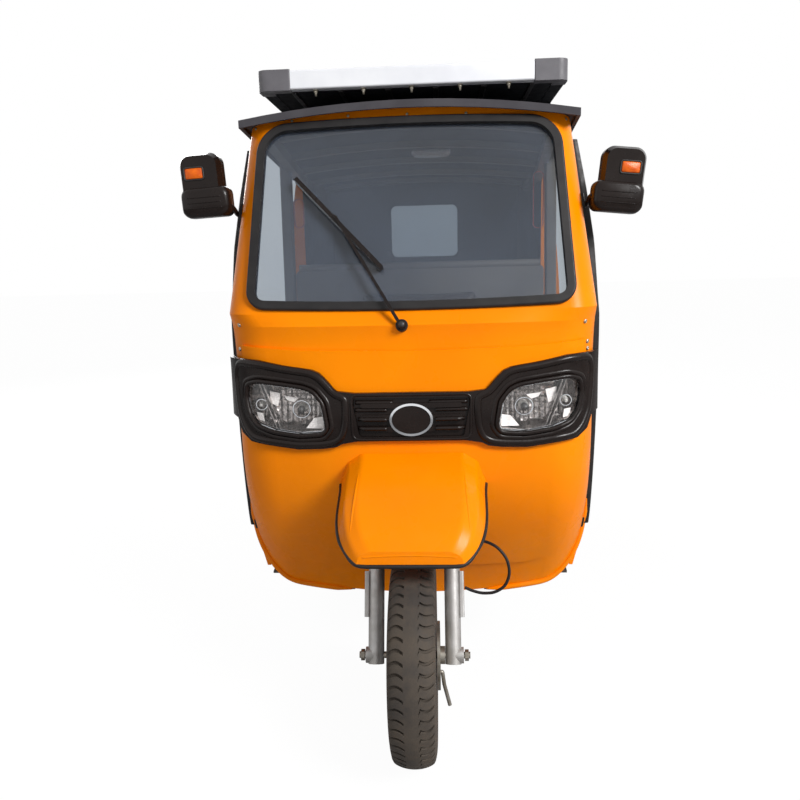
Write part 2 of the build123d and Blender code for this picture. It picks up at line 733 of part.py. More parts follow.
# Fork: two legs, lower yoke and stem
with BuildPart() as fork:
    with BuildSketch(STEER_PLANE.offset(-LEG_FOOT)):
        with Locations((-FORK_HALF, -FORK_OFFSET), (FORK_HALF, -FORK_OFFSET)):
            Circle(LEG_R)
    extrude(amount=LEG_FOOT + LEG_SLIDER)
    with BuildSketch(STEER_PLANE.offset(LEG_SLIDER)):
        with Locations((-FORK_HALF, -FORK_OFFSET), (FORK_HALF, -FORK_OFFSET)):
            Circle(LEG_R - 5)
    extrude(amount=YOKE_T0 + YOKE_H - LEG_SLIDER)
    with BuildSketch(STEER_PLANE.offset(YOKE_T0)):
        with Locations((0, -FORK_OFFSET)):
            SlotOverall(2 * FORK_HALF + 2 * LEG_R + 12, 2 * LEG_R + 12)
        Circle(STEM_R + 16)
    extrude(amount=YOKE_H)
    with BuildSketch(STEER_PLANE.offset(YOKE_T0)):
        Circle(STEM_R)
    extrude(amount=STEM_TOP - YOKE_T0)
    with BuildSketch(STEER_PLANE.offset(LUG_T0)):
        with Locations((-FORK_HALF - LEG_R - 3, -FORK_OFFSET), (FORK_HALF + LEG_R + 3, -FORK_OFFSET)):
            RectangleRounded(14, 30, 4)
    extrude(amount=LUG_H)
    with BuildSketch(FRONT_AXLE_PLANE.offset(-FORK_HALF - LEG_R - 6)):
        Circle(AXLE_R + 12)
    extrude(amount=LEG_R + 2)
    with BuildSketch(FRONT_AXLE_PLANE.offset(FORK_HALF + 4)):
        Circle(AXLE_R + 12)
    extrude(amount=LEG_R + 2)
    with BuildSketch(FRONT_AXLE_PLANE.offset(-200)):
        Circle(AXLE_R + RUN_FIT)
    extrude(amount=400, mode=Mode.SUBTRACT)
fork.part.label = "fork"
export_step(fork.part, "parts/fork.step")

# Front axle with its nuts
with BuildPart() as front_axle:
    with BuildSketch(FRONT_AXLE_PLANE.offset(-AXLE_END)):
        Circle(AXLE_R)
    extrude(amount=2 * AXLE_END)
    for nut_x in (-AXLE_END + 4, AXLE_END - 4 - NUT_H):
        with BuildSketch(FRONT_AXLE_PLANE.offset(nut_x)):
            RegularPolygon(AXLE_R + 6, 6)
        extrude(amount=NUT_H)
front_axle.part.label = "front_axle"
export_step(front_axle.part, "parts/front_axle.step")

# Brake back plate with its cam lever, held by the left leg
with BuildPart() as brake_plate:
    with BuildSketch(FRONT_AXLE_PLANE.offset(PLATE_X)):
        Circle(PLATE_R)
    extrude(amount=PLATE_T)
    with BuildSketch(FRONT_AXLE_PLANE.offset(PLATE_X)):
        Circle(AXLE_R + 14)
    extrude(amount=FORK_HALF - LEG_R - SEAT_GAP - PLATE_X)
    with BuildSketch(FRONT_AXLE_PLANE.offset(PLATE_X - 1)):
        Circle(AXLE_R + RUN_FIT)
    extrude(amount=60, mode=Mode.SUBTRACT)
    with BuildLine():
        FilletPolyline(
            (PLATE_X + 3, FRONT_AXLE_Y - 36, TYRE_R - 26), (PLATE_X + 12, FRONT_AXLE_Y - 36, TYRE_R - 26),
            (PLATE_X + 16, FRONT_AXLE_Y - 38, TYRE_R - 60), (LEVER_X, FRONT_AXLE_Y - 40, LEVER_Z),
            radius=(3, 14))
    with BuildSketch(Plane(origin=(PLATE_X + 3, FRONT_AXLE_Y - 36, TYRE_R - 26), z_dir=(1, 0, 0))):
        Circle(5)
    sweep()
brake_plate.part.label = "brake_plate"
export_step(brake_plate.part, "parts/brake_plate.step")


def wheel_plane(x, y):
    """Half-section plane of a wheel: local x is the vehicle's X, local y is the radius."""
    return Plane(origin=(x, y, TYRE_R), x_dir=(1, 0, 0), z_dir=(0, -1, 0))


def tyre_solid(x, y):
    """Closed tyre revolved from its half section."""
    half = TYRE_W / 2
    with BuildPart() as tyre:
        with BuildSketch(wheel_plane(x, y)):
            with BuildLine():
                Line((-RIM_W / 2 + 4, RIM_SEAT_R), (RIM_W / 2 - 4, RIM_SEAT_R))
                Line((RIM_W / 2 - 4, RIM_SEAT_R), (RIM_W / 2 - 4, RIM_FLANGE_R + 2))
                ThreePointArc((RIM_W / 2 - 4, RIM_FLANGE_R + 2), (half, TYRE_R - 54), (half - 9, TYRE_R - 14))
                ThreePointArc((half - 9, TYRE_R - 14), (0, TYRE_R), (-half + 9, TYRE_R - 14))
                ThreePointArc((-half + 9, TYRE_R - 14), (-half, TYRE_R - 54), (-RIM_W / 2 + 4, RIM_FLANGE_R + 2))
                Line((-RIM_W / 2 + 4, RIM_FLANGE_R + 2), (-RIM_W / 2 + 4, RIM_SEAT_R))
            make_face()
        revolve(axis=Axis((x, y, TYRE_R), (1, 0, 0)))
    return tyre.part


def rim_solid(x, y, web_x, hub_x0, hub_x1, hub_r, drum_x0, drum_x1, drum_r, bore_r):
    """Rim with a windowed web, a hub and a brake drum; places along the axle are measured from x."""
    seat = RIM_SEAT_R - SEAT_GAP
    edge = RIM_W / 2
    with BuildPart() as rim:
        with BuildSketch(wheel_plane(x, y)):
            with BuildLine():
                Polyline(
                    (-edge, RIM_FLANGE_R), (-edge + 3.5, RIM_FLANGE_R), (-edge + 3.5, seat),
                    (edge - 3.5, seat), (edge - 3.5, RIM_FLANGE_R), (edge, RIM_FLANGE_R),
                    (edge, seat - RIM_T), (-edge, seat - RIM_T), close=True)
            make_face()
        with BuildSketch(wheel_plane(x, y)):
            with BuildLine():
                Polyline(
                    (web_x, hub_r - 2), (web_x, 84), (web_x + WEB_DISH, 108), (web_x + WEB_DISH, seat - 1),
                    (web_x + WEB_DISH - WEB_T, seat - 1), (web_x + WEB_DISH - WEB_T, 110),
                    (web_x - WEB_T, 86), (web_x - WEB_T, hub_r - 2), close=True)
            make_face()
            with Locations(((hub_x0 + hub_x1) / 2, hub_r / 2)):
                Rectangle(hub_x1 - hub_x0, hub_r)
            with Locations(((drum_x0 + drum_x1) / 2, drum_r / 2)):
                Rectangle(drum_x1 - drum_x0, drum_r)
        revolve(axis=Axis((x, y, TYRE_R), (1, 0, 0)))
        with BuildSketch(Plane(origin=(x + hub_x0 - 5, y, TYRE_R), x_dir=(0, 1, 0), z_dir=(1, 0, 0))):
            Circle(bore_r)
        extrude(amount=hub_x1 - hub_x0 + 10, mode=Mode.SUBTRACT)
        with BuildSketch(Plane(origin=(x + web_x - 30, y, TYRE_R), x_dir=(0, 1, 0), z_dir=(1, 0, 0))):
            with PolarLocations(WINDOW_R, WINDOW_COUNT, start_angle=90):
                SlotOverall(WINDOW_L, WINDOW_H, rotation=90)
        extrude(amount=60, mode=Mode.SUBTRACT)
    return rim.part


# Front wheel
with BuildPart() as front_tyre:
    add(tyre_solid(0, FRONT_AXLE_Y))
front_tyre.part.label = "front_tyre"
export_step(front_tyre.part, "parts/front_tyre.step")
with BuildPart() as front_rim:
    add(rim_solid(0, FRONT_AXLE_Y, -4, -72, 56, 30, -2, 56, PLATE_R - 4, AXLE_R + RUN_FIT))
front_rim.part.label = "front_rim"
export_step(front_rim.part, "parts/front_rim.step")

# Handlebar on the stem, with two grips
BAR_T = STEM_TOP + BAR_R + 8
with BuildPart() as handlebar:
    with BuildLine(STEER_PLANE.offset(BAR_T)):
        FilletPolyline(
            (-BAR_HALF, 96, 10), (-150, 70, 14), (-70, 0, 0), (70, 0, 0), (150, 70, 14), (BAR_HALF, 96, 10),
            radius=40)
    with BuildSketch(Plane(origin=STEER_PLANE.offset(BAR_T).from_local_coords((-BAR_HALF, 96, 10)),
                           z_dir=STEER_PLANE.from_local_coords((180, -26, 4))
                           - STEER_PLANE.from_local_coords((0, 0, 0)))):
        Circle(BAR_R)
    sweep()
    with BuildSketch(STEER_PLANE.offset(STEM_TOP - 34)):
        Circle(STEM_R + 8)
    extrude(amount=34 + BAR_R)
    with BuildSketch(STEER_PLANE.offset(STEM_TOP - 36)):
        Circle(STEM_R + RUN_FIT)
    extrude(amount=36, mode=Mode.SUBTRACT)
handlebar.part.label = "handlebar"
export_step(handlebar.part, "parts/handlebar.step")
with BuildPart() as handlebar_grips:
    for side in (-1, 1):
        with BuildSketch(Plane(origin=STEER_PLANE.offset(BAR_T).from_local_coords((side * BAR_HALF, 96, 10)),
                               z_dir=STEER_PLANE.from_local_coords((-side * 180, -26, 4))
                               - STEER_PLANE.from_local_coords((0, 0, 0))).offset(-6)):
            Circle(BAR_R + 6)
            Circle(BAR_R + SEAT_GAP, mode=Mode.SUBTRACT)
        extrude(amount=GRIP_L)
handlebar_grips.part.label = "handlebar_grips"
export_step(handlebar_grips.part, "parts/handlebar_grips.step")

# Ladder frame: two kicked-up rails, cross members, spine and head tube
RAIL_Z = FLOOR_Z - FLOOR_T - SEAT_GAP - RAIL_H / 2
SPRING_Z = TYRE_R + AXLE_TUBE_R + SPRING_PAD + SEAT_GAP
SPRING_EYE_Z = SPRING_Z + SPRING_HALF * SPRING_HALF / (2 * SPRING_BOW) + 2 * LEAF_STEP - EYE_R / 2
SPRING_Y0 = REAR_AXLE_Y - SPRING_HALF
SPRING_Y1 = REAR_AXLE_Y + SPRING_HALF
with BuildPart() as ladder_frame:
    for side in (-1, 1):
        with BuildSketch(Plane.YZ.offset(side * RAIL_HALF - RAIL_W / 2)):
            with BuildLine():
                Polyline(
                    (FRAME_Y0, RAIL_Z - RAIL_H / 2), (KICK_Y0, RAIL_Z - RAIL_H / 2),
                    (KICK_Y1, KICK_Z), (FRAME_Y1, KICK_Z), (FRAME_Y1, KICK_Z + RAIL_H),
                    (KICK_Y1 - 12, KICK_Z + RAIL_H), (KICK_Y0 - 12, RAIL_Z + RAIL_H / 2),
                    (FRAME_Y0, RAIL_Z + RAIL_H / 2), close=True)
            make_face()
        extrude(amount=RAIL_W)
    with Locations((0, CROSS_Y[0], RAIL_Z)):
        Box(2 * RAIL_HALF, RAIL_W, RAIL_H - 10)
    for y in CROSS_Y[1:]:
        with Locations((0, y, RAIL_Z)):
            Box(2 * OUTRIGGER_HALF, RAIL_W, RAIL_H - 10)
    with Locations((0, FRAME_Y1 - RAIL_W / 2, KICK_Z + RAIL_H / 2)):
        Box(2 * RAIL_HALF, RAIL_W, RAIL_H - 10)
    with Locations((0, FRAME_Y1 - RAIL_W / 2, (KICK_Z + REAR_CROSS_Z0) / 2)):
        Box(2 * RAIL_HALF + RAIL_W, RAIL_W, KICK_Z - REAR_CROSS_Z0)
    for side in (-1, 1):
        for cheek in (-1, 1):
            cheek_x = side * SPRING_X + cheek * (SPRING_W / 2 + SEAT_GAP + 3)
            with BuildSketch(Plane.YZ.offset(cheek_x - 3)):
                with BuildLine():
                    Polyline(
                        (CROSS_Y[-1] + 20, RAIL_Z - 25), (CROSS_Y[-1] + 20, RAIL_Z + 25),
                        (REAR_FRONT_Y, RAIL_Z + RAIL_H / 2 - 3), (REAR_FRONT_Y + 4, SPRING_EYE_Z + 16),
                        (SPRING_Y0 + 16, SPRING_EYE_Z + 16), (SPRING_Y0 + 16, SPRING_EYE_Z - 16), close=True)
                make_face()
            extrude(amount=6)
            with BuildSketch(Plane.YZ.offset(cheek_x - 3)):
                with Locations((SPRING_Y1, (KICK_Z + SPRING_EYE_Z - 16) / 2 + 5)):
                    Rectangle(32, KICK_Z - SPRING_EYE_Z + 26)
            extrude(amount=6)
        with BuildSketch(Plane.YZ.offset(side * SPRING_X - SPRING_W / 2 - 8)):
            with Locations((SPRING_Y0, SPRING_EYE_Z), (SPRING_Y1, SPRING_EYE_Z)):
                Circle(EYE_BOLT_R)
        extrude(amount=SPRING_W + 16)
        with Locations((side * (RAIL_HALF + SPRING_X) / 2, SPRING_Y1 - 4, KICK_Z + 18)):
            Box(SPRING_X - RAIL_HALF + SPRING_W + 14, 40, 36)
    with BuildSketch(Plane(origin=(0, SPINE_Y0, SPINE_Z0), x_dir=(1, 0, 0),
                           z_dir=(0, SPINE_Y1 - SPINE_Y0, SPINE_Z1 - SPINE_Z0))):
        RectangleRounded(70, 56, 8)
    extrude(amount=sqrt((SPINE_Y1 - SPINE_Y0) ** 2 + (SPINE_Z1 - SPINE_Z0) ** 2))
    with BuildSketch(STEER_PLANE.offset(HEAD_T0)):
        Circle(STEM_R + 14)
    extrude(amount=HEAD_L)
    with BuildSketch(STEER_PLANE.offset(HEAD_T0 - 1)):
        Circle(STEM_R + RUN_FIT)
    extrude(amount=HEAD_L + 2, mode=Mode.SUBTRACT)
    # Joint lines where the cross members and outriggers meet the faces of the rails
    for side in (-1, 1):
        for face in (-1, 1):
            joint_x = side * RAIL_HALF + face * (RAIL_W + SEAT_GAP) / 2
            with Locations((joint_x, FRAME_Y1 / 2, KICK_Z)):
                Box(SEAT_GAP, 4 * FRAME_Y1, 2 * KICK_Z, mode=Mode.SUBTRACT)
ladder_frame.part.label = "ladder_frame"
export_step(ladder_frame.part, "parts/ladder_frame.step")

# Floor plate with an opening for the spine, and the toe board standing on its front edge
with BuildPart() as floor_front:
    with Locations((0, (FIREWALL_Y + EDGE_FOOT_Y) / 2 + 2, FLOOR_Z - FLOOR_T / 2)):
        Box(2 * REACH, EDGE_FOOT_Y - FIREWALL_Y + 4, FLOOR_T)
    with Locations((0, FIREWALL_Y + SHEET / 2, (FLOOR_Z + FIREWALL_Z1) / 2)):
        Box(2 * REACH, SHEET, FIREWALL_Z1 - FLOOR_Z)
    add(cowl_solid(-WALL - TRIM_T - SEAT_GAP), mode=Mode.INTERSECT)
    with BuildSketch(Plane.XZ.offset(-FIREWALL_Y - 30)):
        with Locations((0, SPINE_CROSS_Z)):
            RectangleRounded(SPINE_HOLE_W, 164, 10)
    extrude(amount=60, mode=Mode.SUBTRACT)
with BuildPart() as floor_pan:
    with BuildSketch(Plane.XY.offset(FLOOR_Z - FLOOR_T)):
        with BuildLine():
            Polyline(
                (-FLOOR_HALF_FRONT, EDGE_FOOT_Y + 2), (FLOOR_HALF_FRONT, EDGE_FOOT_Y + 2),
                (FLOOR_HALF_REAR, REAR_FRONT_Y - 1), (-FLOOR_HALF_REAR, REAR_FRONT_Y - 1), close=True)
        make_face()
    extrude(amount=FLOOR_T)
    add(floor_front.part)
    with Locations((0, SPINE_Y0 - 16, FLOOR_Z)):
        Box(SPINE_HOLE_W, SPINE_HOLE_W, 4 * FLOOR_T, mode=Mode.SUBTRACT)
    with BuildSketch(Plane.XY.offset(FLOOR_Z)):
        with Locations(*[(rib_x, FLOOR_RIB_Y) for rib_x in FLOOR_RIB_X]):
            SlotOverall(FLOOR_RIB_L, 24, rotation=90)
    extrude(amount=4)
floor_pan.part.label = "floor_pan"
export_step(floor_pan.part, "parts/floor_pan.step")

# Side sills with a step along the top; both lean in and rise towards the nose
with BuildPart() as side_sills:
    for side in (-1, 1):
        with BuildPart(mode=Mode.PRIVATE) as sill:
            for y, half, foot_half, foot_z in SILL_ENDS:
                with BuildSketch(Plane.XZ.offset(-y)):
                    with BuildLine():
                        Polyline(
                            (side * foot_half, foot_z), (side * half, SILL_Z1),
                            (side * (half - SILL_STEP_W), SILL_Z1),
                            (side * (half - SILL_STEP_W), SILL_Z1 - SHEET),
                            (side * (half - WALL - 1), SILL_Z1 - SHEET),
                            (side * (foot_half - WALL), foot_z), close=True)
                    make_face()
            loft(ruled=True)
        add(sill.part)
side_sills.part.label = "side_sills"
export_step(side_sills.part, "parts/side_sills.step")

# Cabin frame: B-pillars, roof side rails and roof bows.
# Roof rail columns: y, outer half width
RAIL_ROWS = [(NOSE_Y + 300.0, 418.0), (REAR_FRONT_Y, JAMB_HALF - SEAT_GAP), (BODY_REAR_Y - 140.0, JAMB_HALF - SEAT_GAP)]
with BuildPart() as side_rails:
    for side in (-1, 1):
        with BuildPart(mode=Mode.PRIVATE) as rail:
            for y, half in RAIL_ROWS:
                with BuildSketch(Plane.XZ.offset(-y)):
                    with Locations((side * (half - ROOF_RAIL_W / 2), ROOF_RAIL_Z)):
                        Rectangle(ROOF_RAIL_W, ROOF_RAIL_H)
            loft(ruled=True)
        add(rail.part)
with BuildPart() as b_pillars:
    for side in (-1, 1):
        with BuildPart(mode=Mode.PRIVATE) as pillar:
            for z, half in B_PILLAR_ROWS:
                with BuildSketch(Plane.XY.offset(z)):
                    with Locations((side * (half - B_PILLAR_W / 2), B_PILLAR_Y + B_PILLAR_D / 2)):
                        RectangleRounded(B_PILLAR_W, B_PILLAR_D, 7)
            loft(ruled=True)
        add(pillar.part)
with BuildPart() as cabin_frame:
    add(side_rails.part)
    add(b_pillars.part)
    for y in BOW_Y:
        with BuildSketch(Plane.XZ.offset(-y - BOW_D / 2)):
            half = roof_half(y) - 40
            with BuildLine():
                ThreePointArc((-half, BOW_Z), (0, BOW_Z + ROOF_CROWN - 2), (half, BOW_Z))
                Line((half, BOW_Z), (half, BOW_Z - BOW_H))
                ThreePointArc((half, BOW_Z - BOW_H), (0, BOW_Z - BOW_H + ROOF_CROWN - 2), (-half, BOW_Z - BOW_H))
                Line((-half, BOW_Z - BOW_H), (-half, BOW_Z))
            make_face()
        extrude(amount=BOW_D)
    add(roof_space, mode=Mode.SUBTRACT)
cabin_frame.part.label = "cabin_frame"
export_step(cabin_frame.part, "parts/cabin_frame.step")

# Partition behind the driver with its top rail
with BuildPart() as partition:
    with BuildSketch(Plane.XZ.offset(-PARTITION_Y)):
        with BuildLine():
            Polyline(
                (-PARTITION_HALF_FOOT, FLOOR_Z + 5), (PARTITION_HALF_FOOT, FLOOR_Z + 5),
                (PARTITION_HALF_TOP, PARTITION_Z1), (-PARTITION_HALF_TOP, PARTITION_Z1), close=True)
        make_face()
        fillet(vertices().group_by(Axis.Y)[-1], 18)
    extrude(amount=PARTITION_T)
    with BuildSketch(Plane.YZ.offset(-PARTITION_HALF_TOP + 14)):
        with Locations((PARTITION_Y - PARTITION_T / 2, PARTITION_Z1 + 8)):
            Circle(14)
    extrude(amount=2 * PARTITION_HALF_TOP - 28)
partition.part.label = "partition"
export_step(partition.part, "parts/partition.step")

# Rear body. Columns: height z, half width, rear y, corner radius
REAR_ROWS = [
    (330.0, 606.0, BODY_REAR_Y - 14, 90.0),
    (700.0, 636.0, BODY_REAR_Y, 96.0),
    (1120.0, 632.0, BODY_REAR_Y - 4, 96.0),
    (1700.0, 562.0, BODY_REAR_Y - 44, 90.0),
]


def rear_solid(grow):
    """Solid rear body, grown outwards by grow at the sides and back."""
    with BuildPart() as solid:
        for z, half, rear_y, radius in REAR_ROWS:
            h = half + grow
            y1 = rear_y + grow
            y0 = REAR_FRONT_Y - grow
            with BuildSketch(Plane.XY.offset(z)) as section:
                with BuildLine():
                    Polyline((-h, y0), (h, y0), (h, y1), (-h, y1), close=True)
                make_face()
                fillet(section.vertices().group_by(Axis.Y)[-1], radius + grow)
        loft()
    return solid.part


rear_out = rear_solid(0)
rear_in = rear_solid(-WALL)
with BuildPart() as rear_skin:
    add(rear_out)
    add(rear_in, mode=Mode.SUBTRACT)
    with Locations((0, REAR_FRONT_Y, 1100)):
        Box(2 * JAMB_HALF, 2 * WALL + 60, 1800, mode=Mode.SUBTRACT)
    with Locations((0, (REAR_FRONT_Y + BODY_REAR_Y) / 2, 300)):
        Box(2 * JAMB_HALF, BODY_REAR_Y - REAR_FRONT_Y - 120, 100, mode=Mode.SUBTRACT)
    with BuildSketch(Plane.YZ.offset(-REACH)) as arch_face:
        with Locations((REAR_AXLE_Y, TYRE_R)):
            Circle(ARCH_R)
    extrude(arch_face.sketch, amount=2 * REACH, mode=Mode.SUBTRACT)
    add(roof_space, mode=Mode.SUBTRACT)
with BuildPart() as rear_quarters:
    add(rear_skin.part)
    with Locations((0, REAR_FRONT_Y + 400, 1000)):
        Box(2 * CORNER_SEAM, 1000, 2000, mode=Mode.SUBTRACT)
rear_quarters.part.label = "rear_quarters"
export_step(rear_quarters.part, "parts/rear_quarters.step")

# Hinge halves of the rear lid: knuckles on leaves that lie on the skin
HINGE_Z = HATCH_Z1 - HATCH_GAP / 2
HINGE_Y = BODY_REAR_Y - 4 + HINGE_R + 2
with BuildPart() as leaf_band:
    add(rear_solid(LEAF_T))
    add(rear_solid(-WALL / 2), mode=Mode.SUBTRACT)
with BuildPart() as lid_hinges:
    with Locations(*[(x, BODY_REAR_Y, HINGE_Z - HINGE_LEAF / 2) for x in HINGE_X]):
        Box(2 * KNUCKLE_HALF, 60, HINGE_LEAF)
    add(leaf_band.part, mode=Mode.INTERSECT)
    for x in HINGE_X:
        with BuildSketch(Plane.YZ.offset(x - KNUCKLE_HALF)):
            with Locations((HINGE_Y, HINGE_Z)):
                Circle(HINGE_R)
        extrude(amount=2 * KNUCKLE_HALF)
with BuildPart() as fixed_hinges:
    with Locations(*[(x, BODY_REAR_Y, HINGE_Z + HINGE_LEAF / 2) for x in HINGE_X]):
        Box(2 * HINGE_HALF, 60, HINGE_LEAF)
    add(leaf_band.part, mode=Mode.INTERSECT)
    for x in HINGE_X:
        with BuildSketch(Plane.YZ.offset(x - HINGE_HALF)):
            with Locations((HINGE_Y, HINGE_Z)):
                Circle(HINGE_R)
        extrude(amount=2 * HINGE_HALF)
        with BuildSketch(Plane.YZ.offset(x - KNUCKLE_HALF - SEAT_GAP)):
            with Locations((HINGE_Y, HINGE_Z)):
                Circle(HINGE_R + 6)
        extrude(amount=2 * KNUCKLE_HALF + 2 * SEAT_GAP, mode=Mode.SUBTRACT)
        with BuildSketch(Plane.YZ.offset(x - HINGE_HALF)):
            with Locations((HINGE_Y, HINGE_Z)):
                Circle(PIN_R)
        extrude(amount=2 * HINGE_HALF)

# Rear panel with the window, the lid opening and the number plate holes
with BuildPart() as rear_panel:
    with Locations((0, REAR_FRONT_Y + 400, REAR_PANEL_Z0 + 700)):
        Box(2 * (CORNER_SEAM - SEAT_GAP), 760, 1400)
    add(rear_skin.part, mode=Mode.INTERSECT)
    with Locations((0, REAR_FRONT_Y, 1100)):
        Box(2 * REACH, 400, 1900, mode=Mode.SUBTRACT)
    with BuildSketch(Plane.XZ.offset(-BODY_REAR_Y - 60)) as rear_cuts:
        with Locations((0, (REAR_WINDOW_Z0 + REAR_WINDOW_Z1) / 2)):
            RectangleRounded(2 * REAR_WINDOW_HALF, REAR_WINDOW_Z1 - REAR_WINDOW_Z0, 36)
        with Locations((0, (HATCH_Z0 + HATCH_Z1) / 2)):
            RectangleRounded(2 * HATCH_HALF, HATCH_Z1 - HATCH_Z0, 34)
        with Locations((-PLATE_BOLT_PITCH / 2, TAIL_Z), (PLATE_BOLT_PITCH / 2, TAIL_Z)):
            Circle(PLATE_BOLT_R)
    extrude(rear_cuts.sketch, amount=200, mode=Mode.SUBTRACT)
    add(fixed_hinges.part)
rear_panel.part.label = "rear_panel"
export_step(rear_panel.part, "parts/rear_panel.step")
with BuildPart() as rear_glass:
    with BuildSketch(Plane.XZ.offset(-BODY_REAR_Y - 60)) as rear_glass_face:
        with Locations((0, (REAR_WINDOW_Z0 + REAR_WINDOW_Z1) / 2)):
            RectangleRounded(2 * REAR_WINDOW_HALF - 2 * SEAT_GAP, REAR_WINDOW_Z1 - REAR_WINDOW_Z0 - 2 * SEAT_GAP, 35)
    extrude(rear_glass_face.sketch, amount=200)
    add(rear_solid(-3), mode=Mode.INTERSECT)
    add(rear_solid(-3 - GLASS_T), mode=Mode.SUBTRACT)
    with Locations((0, REAR_FRONT_Y, 1100)):
        Box(2 * REACH, 400, 1900, mode=Mode.SUBTRACT)
rear_glass.part.label = "rear_glass"
export_step(rear_glass.part, "parts/rear_glass.step")
# Rear lid under the window, with a grip bar
with BuildPart() as rear_hatch:
    with BuildSketch(Plane.XZ.offset(-BODY_REAR_Y - 60)) as hatch_face:
        with Locations((0, (HATCH_Z0 + HATCH_Z1) / 2)):
            RectangleRounded(2 * (HATCH_HALF - HATCH_GAP), HATCH_Z1 - HATCH_Z0 - 2 * HATCH_GAP, 28)
    extrude(hatch_face.sketch, amount=200)
    add(rear_out, mode=Mode.INTERSECT)
    add(rear_in, mode=Mode.SUBTRACT)
    add(lid_hinges.part)
    for x in HINGE_X:
        with BuildSketch(Plane.YZ.offset(x - KNUCKLE_HALF - 1)):
            with Locations((HINGE_Y, HINGE_Z)):
                Circle(PIN_R + RUN_FIT)
        extrude(amount=2 * KNUCKLE_HALF + 2, mode=Mode.SUBTRACT)
    with Locations((0, BODY_REAR_Y + 18, HATCH_Z0 + 62)):
        Box(GRIP_BAR_L, 12, 16)
    with Locations((-GRIP_BAR_L / 2 + 8, BODY_REAR_Y + 6, HATCH_Z0 + 62),
                   (GRIP_BAR_L / 2 - 8, BODY_REAR_Y + 6, HATCH_Z0 + 62)):
        Box(16, 24, 16)
rear_hatch.part.label = "rear_hatch"
export_step(rear_hatch.part, "parts/rear_hatch.step")

# Tail lamps on the rear panel
with BuildPart() as tail_lamps:
    for side in (-1, 1):
        with BuildSketch(Plane.XZ.offset(-BODY_REAR_Y - 60)) as lamp_face:
            with Locations((side * TAIL_X, TAIL_Z)):
                RectangleRounded(TAIL_L, TAIL_H, 16)
        extrude(lamp_face.sketch, amount=200)
    add(rear_solid(TAIL_PROUD), mode=Mode.INTERSECT)
    add(rear_solid(SEAT_GAP), mode=Mode.SUBTRACT)
    with Locations((0, REAR_FRONT_Y, TAIL_Z)):
        Box(2 * REACH, 900, 400, mode=Mode.SUBTRACT)
tail_lamps.part.label = "tail_lamps"
export_step(tail_lamps.part, "parts/tail_lamps.step")

# Rear bumper tube on two brackets
with BuildPart() as rear_bumper:
    with BuildSketch(Plane.YZ.offset(-BUMPER_HALF)):
        with Locations((BUMPER_Y, BUMPER_Z)):
            Circle(BUMPER_R)
    extrude(amount=2 * BUMPER_HALF)
    fillet(rear_bumper.edges().filter_by(GeomType.CIRCLE), BUMPER_R / 3)
    for side in (-1, 1):
        with Locations((side * RAIL_HALF, (FRAME_Y1 + BUMPER_Y) / 2, BUMPER_Z)):
            Box(RAIL_W - 10, BUMPER_Y - FRAME_Y1, 26)
rear_bumper.part.label = "rear_bumper"
export_step(rear_bumper.part, "parts/rear_bumper.step")

# Wheel houses over the rear wheels
with BuildPart() as wheel_houses:
    for side in (-1, 1):
        with BuildSketch(Plane.YZ.offset(side * HOUSE_X)):
            with Locations((REAR_AXLE_Y, TYRE_R)):
                Circle(ARCH_R + HOUSE_T)
        extrude(amount=side * 200)
    for side in (-1, 1):
        with BuildSketch(Plane.YZ.offset(side * (HOUSE_X + SHEET))):
            with Locations((REAR_AXLE_Y, TYRE_R)):
                Circle(ARCH_R)
        extrude(amount=side * 200, mode=Mode.SUBTRACT)
    add(rear_solid(-WALL - SEAT_GAP), mode=Mode.INTERSECT)
    with Locations((0, 0, TYRE_R)):
        Box(2 * REACH, 4 * REACH, 2 * HOUSE_FOOT, mode=Mode.SUBTRACT)
wheel_houses.part.label = "wheel_houses"
export_step(wheel_houses.part, "parts/wheel_houses.step")

# Passenger bench: front board, cheeks and the plate that carries on as the luggage floor
with BuildPart() as bench_frame:
    with Locations((0, BENCH_BOARD_Y + SHEET / 2, (FLOOR_Z + SEAT_GAP + BENCH_BASE_Z) / 2)):
        Box(2 * (HOUSE_X - SEAT_GAP), SHEET, BENCH_BASE_Z - FLOOR_Z - SEAT_GAP)
    for side in (-1, 1):
        with Locations((side * (HOUSE_X - SEAT_GAP - SHEET / 2), (BENCH_BOARD_Y + LUGGAGE_Y1) / 2,
                        (FLOOR_Z + SEAT_GAP + BENCH_BASE_Z) / 2)):
            Box(SHEET, LUGGAGE_Y1 - BENCH_BOARD_Y, BENCH_BASE_Z - FLOOR_Z - SEAT_GAP)
    with Locations((0, (BENCH_BOARD_Y + LUGGAGE_Y1) / 2, BENCH_BASE_Z - SHEET / 2 + 0.5)):
        Box(2 * (HOUSE_X - SEAT_GAP), LUGGAGE_Y1 - BENCH_BOARD_Y, SHEET - 1)
    with BuildSketch(Plane.XY.offset(BENCH_BASE_Z - SHEET + 1)):
        with Locations((0, (REAR_FRONT_Y + WALL + LUGGAGE_Y1) / 2 + 1)):
            Rectangle(2 * BENCH_HALF, LUGGAGE_Y1 - REAR_FRONT_Y - WALL - 2)
    extrude(amount=SHEET - 1)
    with BuildSketch(Plane.XZ.offset(-BENCH_Y1 - BACK_T - SHEET - SEAT_GAP)):
        with Locations((0, (BENCH_BASE_Z + BACK_PANEL_Z1) / 2)):
            RectangleRounded(2 * BACK_PANEL_HALF, BACK_PANEL_Z1 - BENCH_BASE_Z, 4)
    extrude(amount=SHEET)
bench_frame.part.label = "bench_frame"
export_step(bench_frame.part, "parts/bench_frame.step")


def pad(half, y0, y1, z0, z1, edge):
    """Plain cushion block with rounded edges."""
    with BuildPart() as block:
        with Locations((0, (y0 + y1) / 2, (z0 + z1) / 2)):
            Box(2 * half, y1 - y0, z1 - z0)
        fillet(block.edges(), edge)
    return block.part


